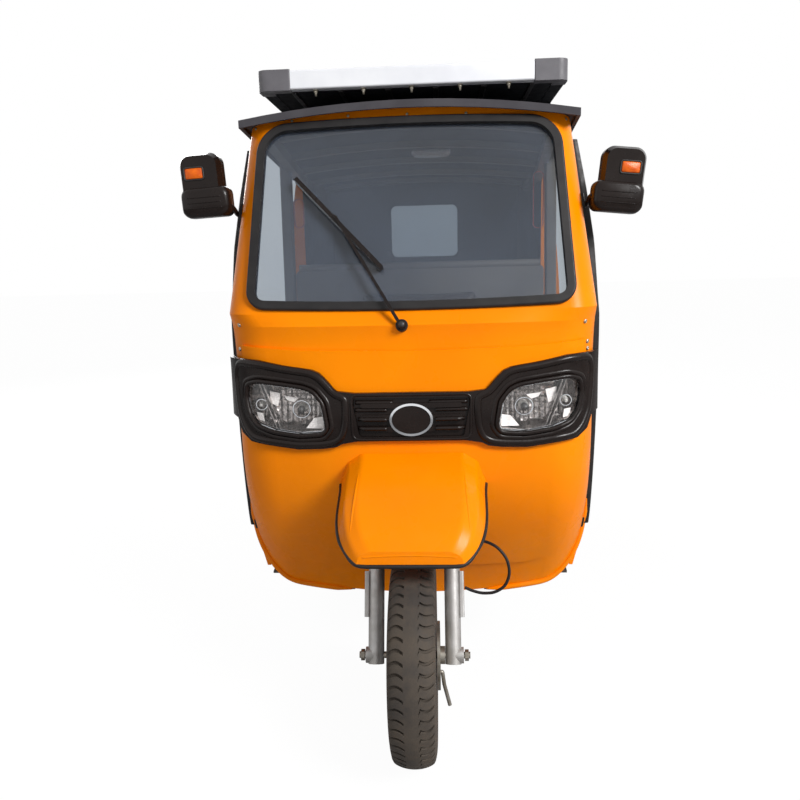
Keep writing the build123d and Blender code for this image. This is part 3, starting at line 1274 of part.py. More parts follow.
with BuildPart() as bench_cushion:
    add(pad(BENCH_HALF, BENCH_Y0, BENCH_Y1, BENCH_BASE_Z + SEAT_GAP, BENCH_BASE_Z + CUSHION_H, 22))
bench_cushion.part.label = "bench_cushion"
export_step(bench_cushion.part, "parts/bench_cushion.step")
with BuildPart() as bench_back:
    add(pad(BENCH_HALF, BENCH_Y1, BENCH_Y1 + BACK_T, BENCH_BASE_Z + CUSHION_H + 1, BACK_Z1, 26))
bench_back.part.label = "bench_back"
export_step(bench_back.part, "parts/bench_back.step")

# Driver's seat box with its two pads, and the battery pack inside it
PARTITION_FRONT_Y = PARTITION_Y - PARTITION_T
with BuildPart() as driver_seat_box:
    with Locations((0, (DRIVER_Y0 + PARTITION_FRONT_Y) / 2, (FLOOR_Z + DRIVER_BASE_Z) / 2)):
        Box(2 * DRIVER_HALF, PARTITION_FRONT_Y - DRIVER_Y0 - 1, DRIVER_BASE_Z - FLOOR_Z - 2 * SEAT_GAP)
    fillet(driver_seat_box.edges().filter_by(Axis.Z), 14)
    with Locations((0, (DRIVER_Y0 + PARTITION_FRONT_Y) / 2, (FLOOR_Z + DRIVER_BASE_Z) / 2 - BOX_T)):
        Box(2 * (DRIVER_HALF - BOX_T), PARTITION_FRONT_Y - DRIVER_Y0 - 1 - 2 * BOX_T, DRIVER_BASE_Z - FLOOR_Z,
            mode=Mode.SUBTRACT)
driver_seat_box.part.label = "driver_seat_box"
export_step(driver_seat_box.part, "parts/driver_seat_box.step")
with BuildPart() as battery_pack:
    with Locations((0, (DRIVER_Y0 + PARTITION_FRONT_Y) / 2, FLOOR_Z + SEAT_GAP + BATTERY_H / 2)):
        Box(2 * DRIVER_HALF - 50, PARTITION_FRONT_Y - DRIVER_Y0 - 60, BATTERY_H)
battery_pack.part.label = "battery_pack"
export_step(battery_pack.part, "parts/battery_pack.step")
with BuildPart() as driver_cushion:
    add(pad(DRIVER_HALF + 12, DRIVER_Y0 - 14, PARTITION_FRONT_Y - BACK_T / 2, DRIVER_BASE_Z + SEAT_GAP,
            DRIVER_BASE_Z + CUSHION_H - 16, 20))
driver_cushion.part.label = "driver_cushion"
export_step(driver_cushion.part, "parts/driver_cushion.step")
with BuildPart() as driver_back:
    add(pad(DRIVER_HALF + 25, PARTITION_FRONT_Y - DRIVER_BACK_T, PARTITION_FRONT_Y - SEAT_GAP,
            DRIVER_BASE_Z + CUSHION_H + 20, BACK_Z1, 18))
driver_back.part.label = "driver_back"
export_step(driver_back.part, "parts/driver_back.step")

# Rear axle with the differential, the motor ahead of it, back plates and stub shafts
REAR_AXLE_PLANE = Plane(origin=(0, REAR_AXLE_Y, TYRE_R), x_dir=(0, 1, 0), z_dir=(1, 0, 0))
with BuildPart() as rear_axle:
    with BuildSketch(Plane(origin=(0, REAR_AXLE_Y, TYRE_R), x_dir=(1, 0, 0), z_dir=(0, -1, 0))):
        with BuildLine():
            Polyline((-PLATE_REAR_X, 0), (-PLATE_REAR_X, AXLE_TUBE_R), (-110, AXLE_TUBE_R), (-64, 62), (-40, DIFF_R),
                     (40, DIFF_R), (64, 62), (110, AXLE_TUBE_R), (PLATE_REAR_X, AXLE_TUBE_R), (PLATE_REAR_X, 0),
                     close=True)
        make_face()
    revolve(axis=Axis((0, REAR_AXLE_Y, TYRE_R), (1, 0, 0)))
    with BuildSketch(REAR_AXLE_PLANE.offset(MOTOR_X0)):
        with Locations((-MOTOR_AHEAD, 0)):
            Circle(MOTOR_R)
    extrude(amount=MOTOR_L)
    with BuildSketch(REAR_AXLE_PLANE.offset(-46)):
        with BuildLine():
            Polyline((-MOTOR_AHEAD, MOTOR_R - 14), (0, DIFF_R - 14), (0, -DIFF_R + 14),
                     (-MOTOR_AHEAD, -MOTOR_R + 14), close=True)
        make_face()
    extrude(amount=92)
    for side in (-1, 1):
        with BuildSketch(REAR_AXLE_PLANE.offset(side * (PLATE_REAR_X - PLATE_T))):
            Circle(REAR_PLATE_R)
        extrude(amount=side * PLATE_T)
        with BuildSketch(REAR_AXLE_PLANE.offset(side * (PLATE_REAR_X - 1))):
            Circle(STUB_R)
        extrude(amount=side * (STUB_END - PLATE_REAR_X + 1))
        with BuildSketch(REAR_AXLE_PLANE.offset(side * (REAR_TRACK / 2 + REAR_HUB_X1 + SEAT_GAP))):
            RegularPolygon(STUB_R + 7, 6)
        extrude(amount=side * NUT_H)
        with Locations((side * SPRING_X, REAR_AXLE_Y, SPRING_Z - SEAT_GAP - SPRING_PAD)):
            Box(SPRING_W + 12, 90, 2 * SPRING_PAD)
rear_axle.part.label = "rear_axle"
export_step(rear_axle.part, "parts/rear_axle.step")

# Leaf springs: three stacked leaves on each side.
# Columns: leaf number from the top, half length
LEAF_ROWS = [(2, SPRING_HALF), (1, SPRING_HALF * 0.72), (0, SPRING_HALF * 0.42)]
SPRING_CENTRE_Z = SPRING_Z + SPRING_BOW
with BuildPart() as leaf_springs:
    for side in (-1, 1):
        for level, half in LEAF_ROWS:
            with BuildPart(mode=Mode.PRIVATE) as leaf:
                with BuildSketch(Plane.YZ.offset(side * SPRING_X - SPRING_W / 2)):
                    with Locations((REAR_AXLE_Y, SPRING_CENTRE_Z)):
                        Circle(SPRING_BOW - level * LEAF_STEP)
                        Circle(SPRING_BOW - (level + 1) * LEAF_STEP - LEAF_LAP, mode=Mode.SUBTRACT)
                    with Locations((REAR_AXLE_Y, SPRING_Z)):
                        Rectangle(2 * half, 240, mode=Mode.INTERSECT)
                extrude(amount=SPRING_W)
            add(leaf.part)
        for end in (-1, 1):
            with BuildSketch(Plane.YZ.offset(side * SPRING_X - SPRING_W / 2)):
                with Locations((REAR_AXLE_Y + end * SPRING_HALF, SPRING_EYE_Z)):
                    Circle(EYE_R)
            extrude(amount=SPRING_W)
    for end in (-1, 1):
        with BuildSketch(Plane.YZ.offset(-REACH)):
            with Locations((REAR_AXLE_Y + end * SPRING_HALF, SPRING_EYE_Z)):
                Circle(EYE_BOLT_R + RUN_FIT)
        extrude(amount=2 * REACH, mode=Mode.SUBTRACT)
leaf_springs.part.label = "leaf_springs"
export_step(leaf_springs.part, "parts/leaf_springs.step")

# Rear wheels
REAR_DRUM_X0 = PLATE_REAR_X + 2 - REAR_TRACK / 2
with BuildPart() as rear_tyre_left:
    add(tyre_solid(REAR_TRACK / 2, REAR_AXLE_Y))
rear_tyre_left.part.label = "rear_tyre_left"
export_step(rear_tyre_left.part, "parts/rear_tyre_left.step")
with BuildPart() as rear_rim_left:
    add(rim_solid(REAR_TRACK / 2, REAR_AXLE_Y, REAR_WEB_X, REAR_DRUM_X0, REAR_HUB_X1, 34, REAR_DRUM_X0, REAR_WEB_X,
                  REAR_PLATE_R - 6, STUB_R + RUN_FIT))
rear_rim_left.part.label = "rear_rim_left"
export_step(rear_rim_left.part, "parts/rear_rim_left.step")
with BuildPart() as rear_tyre_right:
    add(rear_tyre_left.part.mirror(Plane.YZ))
rear_tyre_right.part.label = "rear_tyre_right"
export_step(rear_tyre_right.part, "parts/rear_tyre_right.step")
with BuildPart() as rear_rim_right:
    add(rear_rim_left.part.mirror(Plane.YZ))
rear_rim_right.part.label = "rear_rim_right"
export_step(rear_rim_right.part, "parts/rear_rim_right.step")

# Roof rack: side rails, rear bar and crossbars on feet
RACK_REAR_Y = RACK_FRONT_Y + RACK_LENGTH
RACK_RAIL_X = RACK_HALF - RACK_RAIL_W / 2
with BuildPart() as rack_rails:
    for side in (-1, 1):
        with Locations((RACK_SHIFT + side * RACK_RAIL_X, (RACK_FRONT_Y + RACK_CAP_D + RACK_REAR_Y) / 2 + SEAT_GAP,
                        RACK_Z0 + RACK_RAIL_H / 2)):
            Box(RACK_RAIL_W, RACK_LENGTH - RACK_CAP_D, RACK_RAIL_H)
    with Locations((RACK_SHIFT, RACK_REAR_Y - RACK_RAIL_W / 2, RACK_Z0 + RACK_RAIL_H / 2)):
        Box(2 * RACK_RAIL_X, RACK_RAIL_W, RACK_RAIL_H)
    for y in RACK_CROSS_Y:
        with Locations((RACK_SHIFT, y, RACK_Z0 - RACK_CROSS_H / 2)):
            Box(2 * RACK_HALF, RACK_CROSS_W, RACK_CROSS_H)
        for side in (-1, 1):
            with Locations((RACK_SHIFT + side * RACK_FOOT_X, y, RACK_Z0 - RACK_CROSS_H - 40)):
                Box(RACK_FOOT_W, RACK_CROSS_W, 80)
            with Locations((RACK_SHIFT + side * RACK_FOOT_X, y, RACK_Z0 - RACK_CROSS_H - 40)):
                Box(RACK_FOOT_W + 30, RACK_CROSS_W + 20, 30)
    add(roof_seat, mode=Mode.SUBTRACT)
rack_rails.part.label = "rack_rails"
export_step(rack_rails.part, "parts/rack_rails.step")
with BuildPart() as rack_front_bar:
    with Locations((RACK_SHIFT, RACK_FRONT_Y + RACK_RAIL_W / 2, RACK_Z0 + RACK_H / 2)):
        Box(2 * (RACK_HALF - RACK_CAP_L - SEAT_GAP), RACK_RAIL_W, RACK_H)
    fillet(rack_front_bar.edges().filter_by(Axis.X), 5)
rack_front_bar.part.label = "rack_front_bar"
export_step(rack_front_bar.part, "parts/rack_front_bar.step")
with BuildPart() as rack_caps:
    for side in (-1, 1):
        with BuildSketch(Plane.XY.offset(RACK_Z0 - 2)):
            with BuildLine():
                FilletPolyline(
                    (RACK_SHIFT + side * (RACK_HALF - RACK_CAP_L), RACK_FRONT_Y + RACK_RAIL_W + 2),
                    (RACK_SHIFT + side * (RACK_HALF - RACK_CAP_L), RACK_FRONT_Y - 2),
                    (RACK_SHIFT + side * (RACK_HALF + 2), RACK_FRONT_Y - 2),
                    (RACK_SHIFT + side * (RACK_HALF + 2), RACK_FRONT_Y + RACK_CAP_D),
                    (RACK_SHIFT + side * (RACK_HALF - RACK_RAIL_W - 2), RACK_FRONT_Y + RACK_CAP_D),
                    (RACK_SHIFT + side * (RACK_HALF - RACK_RAIL_W - 2), RACK_FRONT_Y + RACK_RAIL_W + 2),
                    radius=(3, 26, 3, 3))
                Line((RACK_SHIFT + side * (RACK_HALF - RACK_RAIL_W - 2), RACK_FRONT_Y + RACK_RAIL_W + 2),
                     (RACK_SHIFT + side * (RACK_HALF - RACK_CAP_L), RACK_FRONT_Y + RACK_RAIL_W + 2))
            make_face()
        extrude(amount=RACK_H + 4)
rack_caps.part.label = "rack_caps"
export_step(rack_caps.part, "parts/rack_caps.step")
with BuildPart() as rack_slats:
    for i in range(SLAT_COUNT):
        with Locations((RACK_SHIFT + (i - (SLAT_COUNT - 1) / 2) * SLAT_PITCH,
                        (RACK_FRONT_Y + RACK_REAR_Y) / 2 + SEAT_GAP, RACK_Z0 + SEAT_GAP + SLAT_T / 2)):
            Box(SLAT_W, RACK_LENGTH - 2 * RACK_RAIL_W - 2, SLAT_T)
rack_slats.part.label = "rack_slats"
export_step(rack_slats.part, "parts/rack_slats.step")

# Door mirrors on brackets at the windscreen pillars.
# Columns: side, housing centre x, housing centre z, lean about the vehicle's length
MIRROR_ROWS = [(-1, -565.0, 1499.0, 3.0), (1, 568.0, 1479.0, -6.0)]
mirror_seat = screen_solid(SEAT_GAP)
mirror_plate_skin = screen_solid(MIRROR_PLATE_T)


def housing_plane(x, z, lean, y):
    """Plane of a mirror housing at depth y, facing back, leaning sideways."""
    return Plane(origin=(x, y, z), x_dir=(cos(radians(lean)), 0, sin(radians(lean))), z_dir=(0, 1, 0))


def mirror_arm_route(side):
    """Points of a mirror's arm, from its plate to its end inside the housing."""
    elbow_x = abs(MIRROR_ROWS[0][1]) - MIRROR_W / 2 - MIRROR_ARM_OUT
    return [
        (side * (elbow_x - 20), MIRROR_PLATE_Y, MIRROR_PLATE_Z),
        (side * (elbow_x + 2), MIRROR_PLATE_Y - 6, MIRROR_PLATE_Z + 2),
        (side * (elbow_x + 4), MIRROR_ARM_Y, MIRROR_ARM_Z),
        (side * (elbow_x + 4 + MIRROR_ARM_IN), MIRROR_ARM_Y, MIRROR_ARM_Z),
    ]


with BuildPart() as mirror_mounts:
    for side, x, z, lean in MIRROR_ROWS:
        with Locations((side * 470, MIRROR_PLATE_Y, MIRROR_PLATE_Z)):
            Box(70, 46, 64)
    add(mirror_plate_skin, mode=Mode.INTERSECT)
    for side, x, z, lean in MIRROR_ROWS:
        with BuildLine():
            FilletPolyline(*mirror_arm_route(side), radius=14)
        with BuildSketch(Plane(origin=mirror_arm_route(side)[0], z_dir=(side * 22, -6, 2))):
            Circle(MIRROR_ARM_R)
        sweep()
    add(mirror_seat, mode=Mode.SUBTRACT)
mirror_mounts.part.label = "mirror_mounts"
export_step(mirror_mounts.part, "parts/mirror_mounts.step")
with BuildPart() as mirror_arm_space:
    for side in (-1, 1):
        with BuildSketch(Plane(origin=mirror_arm_route(side)[2], z_dir=(side, 0, 0))):
            Circle(MIRROR_ARM_R + SEAT_GAP)
        extrude(amount=MIRROR_ARM_IN + SEAT_GAP)
with BuildPart() as mirror_housings:
    for side, x, z, lean in MIRROR_ROWS:
        with BuildSketch(housing_plane(x, z, lean, MIRROR_Y - MIRROR_D * 0.6)):
            RectangleRounded(MIRROR_W - 16, MIRROR_H - 16, 26)
        with BuildSketch(housing_plane(x, z, lean, MIRROR_Y - MIRROR_D * 0.2)):
            RectangleRounded(MIRROR_W, MIRROR_H, 30)
        with BuildSketch(housing_plane(x, z, lean, MIRROR_Y + MIRROR_D * 0.4)):
            RectangleRounded(MIRROR_W, MIRROR_H, 30)
        loft(ruled=True)
        with BuildSketch(housing_plane(x, z, lean, MIRROR_Y + MIRROR_D * 0.4 - MIRROR_RECESS)):
            RectangleRounded(MIRROR_W - 12, MIRROR_H - 12, 24)
        extrude(amount=MIRROR_D, mode=Mode.SUBTRACT)
    add(mirror_arm_space.part, mode=Mode.SUBTRACT)
mirror_housings.part.label = "mirror_housings"
export_step(mirror_housings.part, "parts/mirror_housings.step")
with BuildPart() as mirror_glasses:
    for side, x, z, lean in MIRROR_ROWS:
        with BuildSketch(housing_plane(x, z, lean, MIRROR_Y + MIRROR_D * 0.4 - MIRROR_RECESS)):
            RectangleRounded(MIRROR_W - 12 - 2 * SEAT_GAP, MIRROR_H - 12 - 2 * SEAT_GAP, 23)
        extrude(amount=3)
mirror_glasses.part.label = "mirror_glasses"
export_step(mirror_glasses.part, "parts/mirror_glasses.step")

# Wiper: fixed base in the scuttle, and the arm with its blade
WIPER_FOOT = SCREEN_PLANE.from_local_coords((WIPER_X, WIPER_Y, 0))
WIPER_PLANE = Plane(origin=WIPER_FOOT, x_dir=(1, 0, 0), z_dir=tuple(SCREEN_PLANE.z_dir))
with BuildPart() as wiper_base:
    with BuildSketch(WIPER_PLANE):
        Circle(16)
    extrude(amount=WIPER_BASE_H)
    add(cowl_solid(SEAT_GAP), mode=Mode.SUBTRACT)
    add(screen_solid(SEAT_GAP), mode=Mode.SUBTRACT)
wiper_base.part.label = "wiper_base"
export_step(wiper_base.part, "parts/wiper_base.step")
with BuildPart() as wiper:
    with BuildSketch(WIPER_PLANE.offset(WIPER_BASE_H + SEAT_GAP)):
        Circle(12)
    extrude(amount=WIPER_ARM_Z1 - WIPER_BASE_H)
    with BuildSketch(WIPER_PLANE.offset(WIPER_ARM_Z0)):
        with BuildLine():
            Polyline((-11, -8), (8, -12), (WIPER_TIP[0] + 8, WIPER_TIP[1]), (WIPER_TIP[0] - 4, WIPER_TIP[1] + 6),
                     (-12, 6), close=True)
        make_face()
    extrude(amount=WIPER_ARM_Z1 - WIPER_ARM_Z0)
    with BuildSketch(WIPER_PLANE.offset(WIPER_BLADE_Z0)):
        with BuildLine():
            Polyline(
                (BLADE_LOW[0] - 4, BLADE_LOW[1] - 4), (BLADE_LOW[0] + 4, BLADE_LOW[1] + 4),
                (BLADE_HIGH[0] + 4, BLADE_HIGH[1] + 4), (BLADE_HIGH[0] - 4, BLADE_HIGH[1] - 4), close=True)
        make_face()
    extrude(amount=WIPER_ARM_Z0 - WIPER_BLADE_Z0 + 2)
wiper.part.label = "wiper"
export_step(wiper.part, "parts/wiper.step")

# Dashboard shelf across the nose, under the windscreen
with BuildPart() as dashboard:
    with Locations((0, (DASH_Y0 + DASH_Y1) / 2, (DASH_Z0 + DASH_Z1) / 2)):
        Box(2 * REACH, DASH_Y1 - DASH_Y0, DASH_Z1 - DASH_Z0)
    fillet(dashboard.edges().filter_by(Axis.X).sort_by(Axis.Y)[-2:], 9)
    add(cowl_solid(-WALL - SEAT_GAP), mode=Mode.INTERSECT)
dashboard.part.label = "dashboard"
export_step(dashboard.part, "parts/dashboard.step")


def pillar_inner(z):
    """Half width between the B-pillars at height z."""
    (z0, half0), (z1, half1) = B_PILLAR_ROWS
    return half0 + (half1 - half0) * (z - z0) / (z1 - z0) - B_PILLAR_W


# Hand straps inside the B-pillars. Columns: side, lower z, upper z
STRAP_ROWS = [(-1, 1411.0, 1521.0), (1, 1385.0, 1593.0)]
with BuildPart() as grab_straps:
    for side, z0, z1 in STRAP_ROWS:
        strap_x = pillar_inner(z1) - SEAT_GAP
        with BuildSketch(Plane.XZ.offset(-B_PILLAR_Y - B_PILLAR_D)):
            with BuildLine():
                x0 = side * strap_x
                x1 = side * (strap_x - STRAP_REACH)
                FilletPolyline((x0, z1), (x0, z0), (x1, z0), (x1, z1), radius=20)
                Line((x1, z1), (x0, z1))
            make_face()
            with Locations(((x0 + x1) / 2, (z0 + z1) / 2)):
                RectangleRounded(abs(x1 - x0) - 2 * STRAP_T, z1 - z0 - 2 * STRAP_T, 14, mode=Mode.SUBTRACT)
        extrude(amount=STRAP_W)
grab_straps.part.label = "grab_straps"
export_step(grab_straps.part, "parts/grab_straps.step")

# Front brake cable: a free loop from the fork leg down to the cam lever
CABLE_POINTS = [
    (124.3, -934.0, 531.0), (152.0, -946.0, 541.0), (188.0, -960.0, 547.0), (221.0, -974.0, 536.0),
    (246.0, -986.0, 508.0), (253.0, -994.0, 470.0), (241.0, -998.0, 436.0), (212.0, -997.0, 416.0),
    (178.0, -991.0, 412.0), (152.0, -985.0, 417.0), (134.4, -981.0, 424.0),
]
CABLE_RADII = []
for before, here, after in zip(CABLE_POINTS, CABLE_POINTS[1:], CABLE_POINTS[2:]):
    run_in = Vector(*here) - Vector(*before)
    run_out = Vector(*after) - Vector(*here)
    turn = run_in.get_angle(run_out)
    CABLE_RADII.append(0.45 * min(run_in.length, run_out.length) / tan(radians(turn / 2)))
with BuildPart() as brake_cable:
    with BuildLine() as cable_route:
        FilletPolyline(*CABLE_POINTS, radius=tuple(CABLE_RADII))
    with BuildSketch(Plane(origin=CABLE_POINTS[0], z_dir=Vector(*CABLE_POINTS[1]) - Vector(*CABLE_POINTS[0]))):
        Circle(CABLE_R)
    sweep()
brake_cable.part.label = "brake_cable"
export_step(brake_cable.part, "parts/brake_cable.step")
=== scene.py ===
"""Looks of an electric passenger three-wheeler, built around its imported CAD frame. Metres."""

import math

import bmesh
import bpy
from mathutils import Matrix, Vector


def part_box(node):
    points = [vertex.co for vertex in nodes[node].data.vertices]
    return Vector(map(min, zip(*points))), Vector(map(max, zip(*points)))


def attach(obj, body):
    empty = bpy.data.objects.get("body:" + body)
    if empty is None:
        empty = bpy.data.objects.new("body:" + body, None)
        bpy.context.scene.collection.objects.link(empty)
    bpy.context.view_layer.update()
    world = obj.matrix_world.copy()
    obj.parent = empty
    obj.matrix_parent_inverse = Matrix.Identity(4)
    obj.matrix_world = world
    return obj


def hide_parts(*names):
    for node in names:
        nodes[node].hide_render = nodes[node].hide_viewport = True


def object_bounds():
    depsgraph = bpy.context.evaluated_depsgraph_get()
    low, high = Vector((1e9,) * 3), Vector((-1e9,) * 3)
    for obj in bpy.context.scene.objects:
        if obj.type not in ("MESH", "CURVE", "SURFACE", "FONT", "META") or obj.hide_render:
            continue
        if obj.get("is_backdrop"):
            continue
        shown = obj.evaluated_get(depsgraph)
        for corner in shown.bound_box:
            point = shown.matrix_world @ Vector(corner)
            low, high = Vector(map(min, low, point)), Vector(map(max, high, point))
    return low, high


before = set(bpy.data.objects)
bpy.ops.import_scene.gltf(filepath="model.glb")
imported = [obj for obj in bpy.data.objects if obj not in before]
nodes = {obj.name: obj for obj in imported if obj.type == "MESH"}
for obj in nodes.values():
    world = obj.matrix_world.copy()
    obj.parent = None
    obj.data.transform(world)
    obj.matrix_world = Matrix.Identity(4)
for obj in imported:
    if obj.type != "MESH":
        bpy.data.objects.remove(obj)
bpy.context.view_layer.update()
scene = bpy.context.scene

# ------------------------------ camera
PHOTO_PIXELS = 800.0
FOCAL_PIXELS = 722.63
SENSOR = 36.0
YAW = -0.0591621
PITCH = 0.1946482
ROLL = -0.0267801
EYE = Vector((0.0814, -2.780, 1.291))

look = Vector((math.sin(YAW) * math.cos(PITCH), math.cos(YAW) * math.cos(PITCH), -math.sin(PITCH)))
level_right = Vector((math.cos(YAW), -math.sin(YAW), 0.0))
level_up = level_right.cross(look)
cam_right = level_right * math.cos(ROLL) + level_up * math.sin(ROLL)
cam_up = level_up * math.cos(ROLL) - level_right * math.sin(ROLL)

camera = bpy.data.objects.new("camera", bpy.data.cameras.new("camera"))
scene.collection.objects.link(camera)
camera.data.sensor_width = SENSOR
camera.data.lens = SENSOR * FOCAL_PIXELS / PHOTO_PIXELS
camera.data.clip_start = 0.05
camera.data.clip_end = 200.0
turn = Matrix((cam_right, cam_up, -look)).transposed().to_4x4()
camera.matrix_world = Matrix.Translation(EYE) @ turn
scene.camera = camera
scene.view_settings.view_transform = "Standard"


# Where rays start: in front of the nose, in front of the fender, behind the tail
AHEAD = -1.3
FENDER_AHEAD = -1.5
BEHIND = 1.6


def pixel_ray(u, v):
    """Direction from the eye through a point of the picture."""
    across = (u - PHOTO_PIXELS / 2) / FOCAL_PIXELS
    down = (v - PHOTO_PIXELS / 2) / FOCAL_PIXELS
    return (look + cam_right * across - cam_up * down).normalized()


def on_node(node, origin, direction):
    """Point and outward normal where a ray meets a CAD node, or None."""
    found, point, normal, _ = nodes[node].ray_cast(Vector(origin), Vector(direction).normalized())
    if not found:
        return None
    if normal.dot(Vector(direction)) > 0:
        normal = -normal
    return point, normal


def from_ahead(node, x, z, y=AHEAD):
    """Point and normal of a CAD node at a place of the front view."""
    return on_node(node, (x, y, z), (0, 1, 0))


def from_behind(node, x, z):
    """Point and normal of a CAD node at a place of the rear view."""
    return on_node(node, (x, BEHIND, z), (0, -1, 0))


def seen_on(node, u, v):
    """Point and normal of a CAD node at a point of the picture."""
    return on_node(node, EYE, pixel_ray(u, v))


# ------------------------------ materials
def rgb(red, green, blue):
    """Scene colour of an sRGB colour given from 0 to 255."""
    linear = []
    for part in (red, green, blue):
        c = part / 255.0
        linear.append(c / 12.92 if c <= 0.04045 else ((c + 0.055) / 1.055) ** 2.4)
    return (*linear, 1.0)


def feed(tree, socket, value):
    """Links a socket to another, or gives it a fixed value."""
    if hasattr(value, "is_output"):
        tree.links.new(value, socket)
    else:
        socket.default_value = value


def add_node(tree, kind, inputs, **settings):
    """New shader node; inputs pairs the name or number of a socket with what goes into it."""
    node = tree.nodes.new("ShaderNode" + kind)
    for name, value in settings.items():
        setattr(node, name, value)
    for name, value in inputs.items():
        feed(tree, node.inputs[name], value)
    return node


class Finish:
    """A procedural material: colour, roughness and relief vary over the surface."""

    def __init__(self, name):
        self.material = bpy.data.materials.new(name)
        self.material.use_nodes = True
        self.tree = self.material.node_tree
        self.shader = self.tree.nodes["Principled BSDF"]
        self.coords = add_node(self.tree, "TexCoord", {}).outputs["Object"]

    def noise(self, scale, detail=4.0, rough=0.5):
        texture = add_node(self.tree, "TexNoise", {
            "Scale": scale, "Detail": detail, "Roughness": rough, "Vector": self.coords})
        return texture.outputs["Fac"]

    def span(self, source, low, high, from_low=0.35, from_high=0.65):
        ranged = add_node(self.tree, "MapRange", {
            "From Min": from_low, "From Max": from_high, "To Min": low, "To Max": high, "Value": source})
        return ranged.outputs["Result"]

    def mix(self, factor, first, second):
        node = add_node(self.tree, "Mix", {"Factor": factor}, data_type="RGBA")
        colours = [s for s in node.inputs if s.type == "RGBA"]
        for socket, value in zip(colours, (first, second)):
            feed(self.tree, socket, value)
        return [s for s in node.outputs if s.type == "RGBA"][0]

    def height(self, low, high):
        """0 at low and 1 at high, by height over the ground."""
        geometry = add_node(self.tree, "SeparateXYZ", {"Vector": self.coords})
        return self.span(geometry.outputs["Z"], 0.0, 1.0, low, high)

    def bump(self, source, distance):
        node = add_node(self.tree, "Bump", {"Distance": distance, "Strength": 1.0, "Height": source})
        feed(self.tree, self.shader.inputs["Normal"], node.outputs["Normal"])

    def set(self, **values):
        for name, value in values.items():
            feed(self.tree, self.shader.inputs[name.replace("_", " ")], value)


def varied(name, colour, other, mottle, rough, grain, depth, **fixed):
    """A finish with mottled colour, uneven gloss and a fine relief."""
    finish = Finish(name)
    cloud = finish.noise(mottle, 5.0)
    finish.set(
        Base_Color=finish.mix(finish.span(cloud, 0.0, 1.0), colour, other),
        Roughness=finish.span(finish.noise(mottle * 3, 3.0), *rough),
        **fixed,
    )
    finish.bump(finish.noise(grain, 2.0), depth)
    return finish


DUST = rgb(176, 140, 96)
# Height up to which the dust is at its full strength
DUST_FULL = 0.15


def dusty(finish, colour, other, mottle, top, amount):
    """Adds road dust that fades out with height."""
    paint = finish.mix(finish.span(finish.noise(mottle, 5.0), 0.0, 1.0), colour, other)
    low = finish.height(top, DUST_FULL)
    specks = finish.span(finish.noise(26.0, 8.0, rough=0.75), 0.0, amount, 0.42, 0.72)
    share = add_node(finish.tree, "Math", {0: low, 1: specks}, operation="MULTIPLY")
    finish.set(Base_Color=finish.mix(share.outputs["Value"], paint, DUST))


BODY_PAINT = (rgb(252, 140, 0), rgb(245, 131, 0))
orange_paint = varied(
    "orange_paint", *BODY_PAINT, 3.0, (0.24, 0.34), 900.0, 0.00002, Specular_IOR_Level=0.1)
dusty(orange_paint, *BODY_PAINT, 3.0, 0.75, 0.16)
ORANGE = orange_paint.material
MATERIALS = {"body_orange": ORANGE}

DULL = {"Specular_IOR_Level": 0.25}
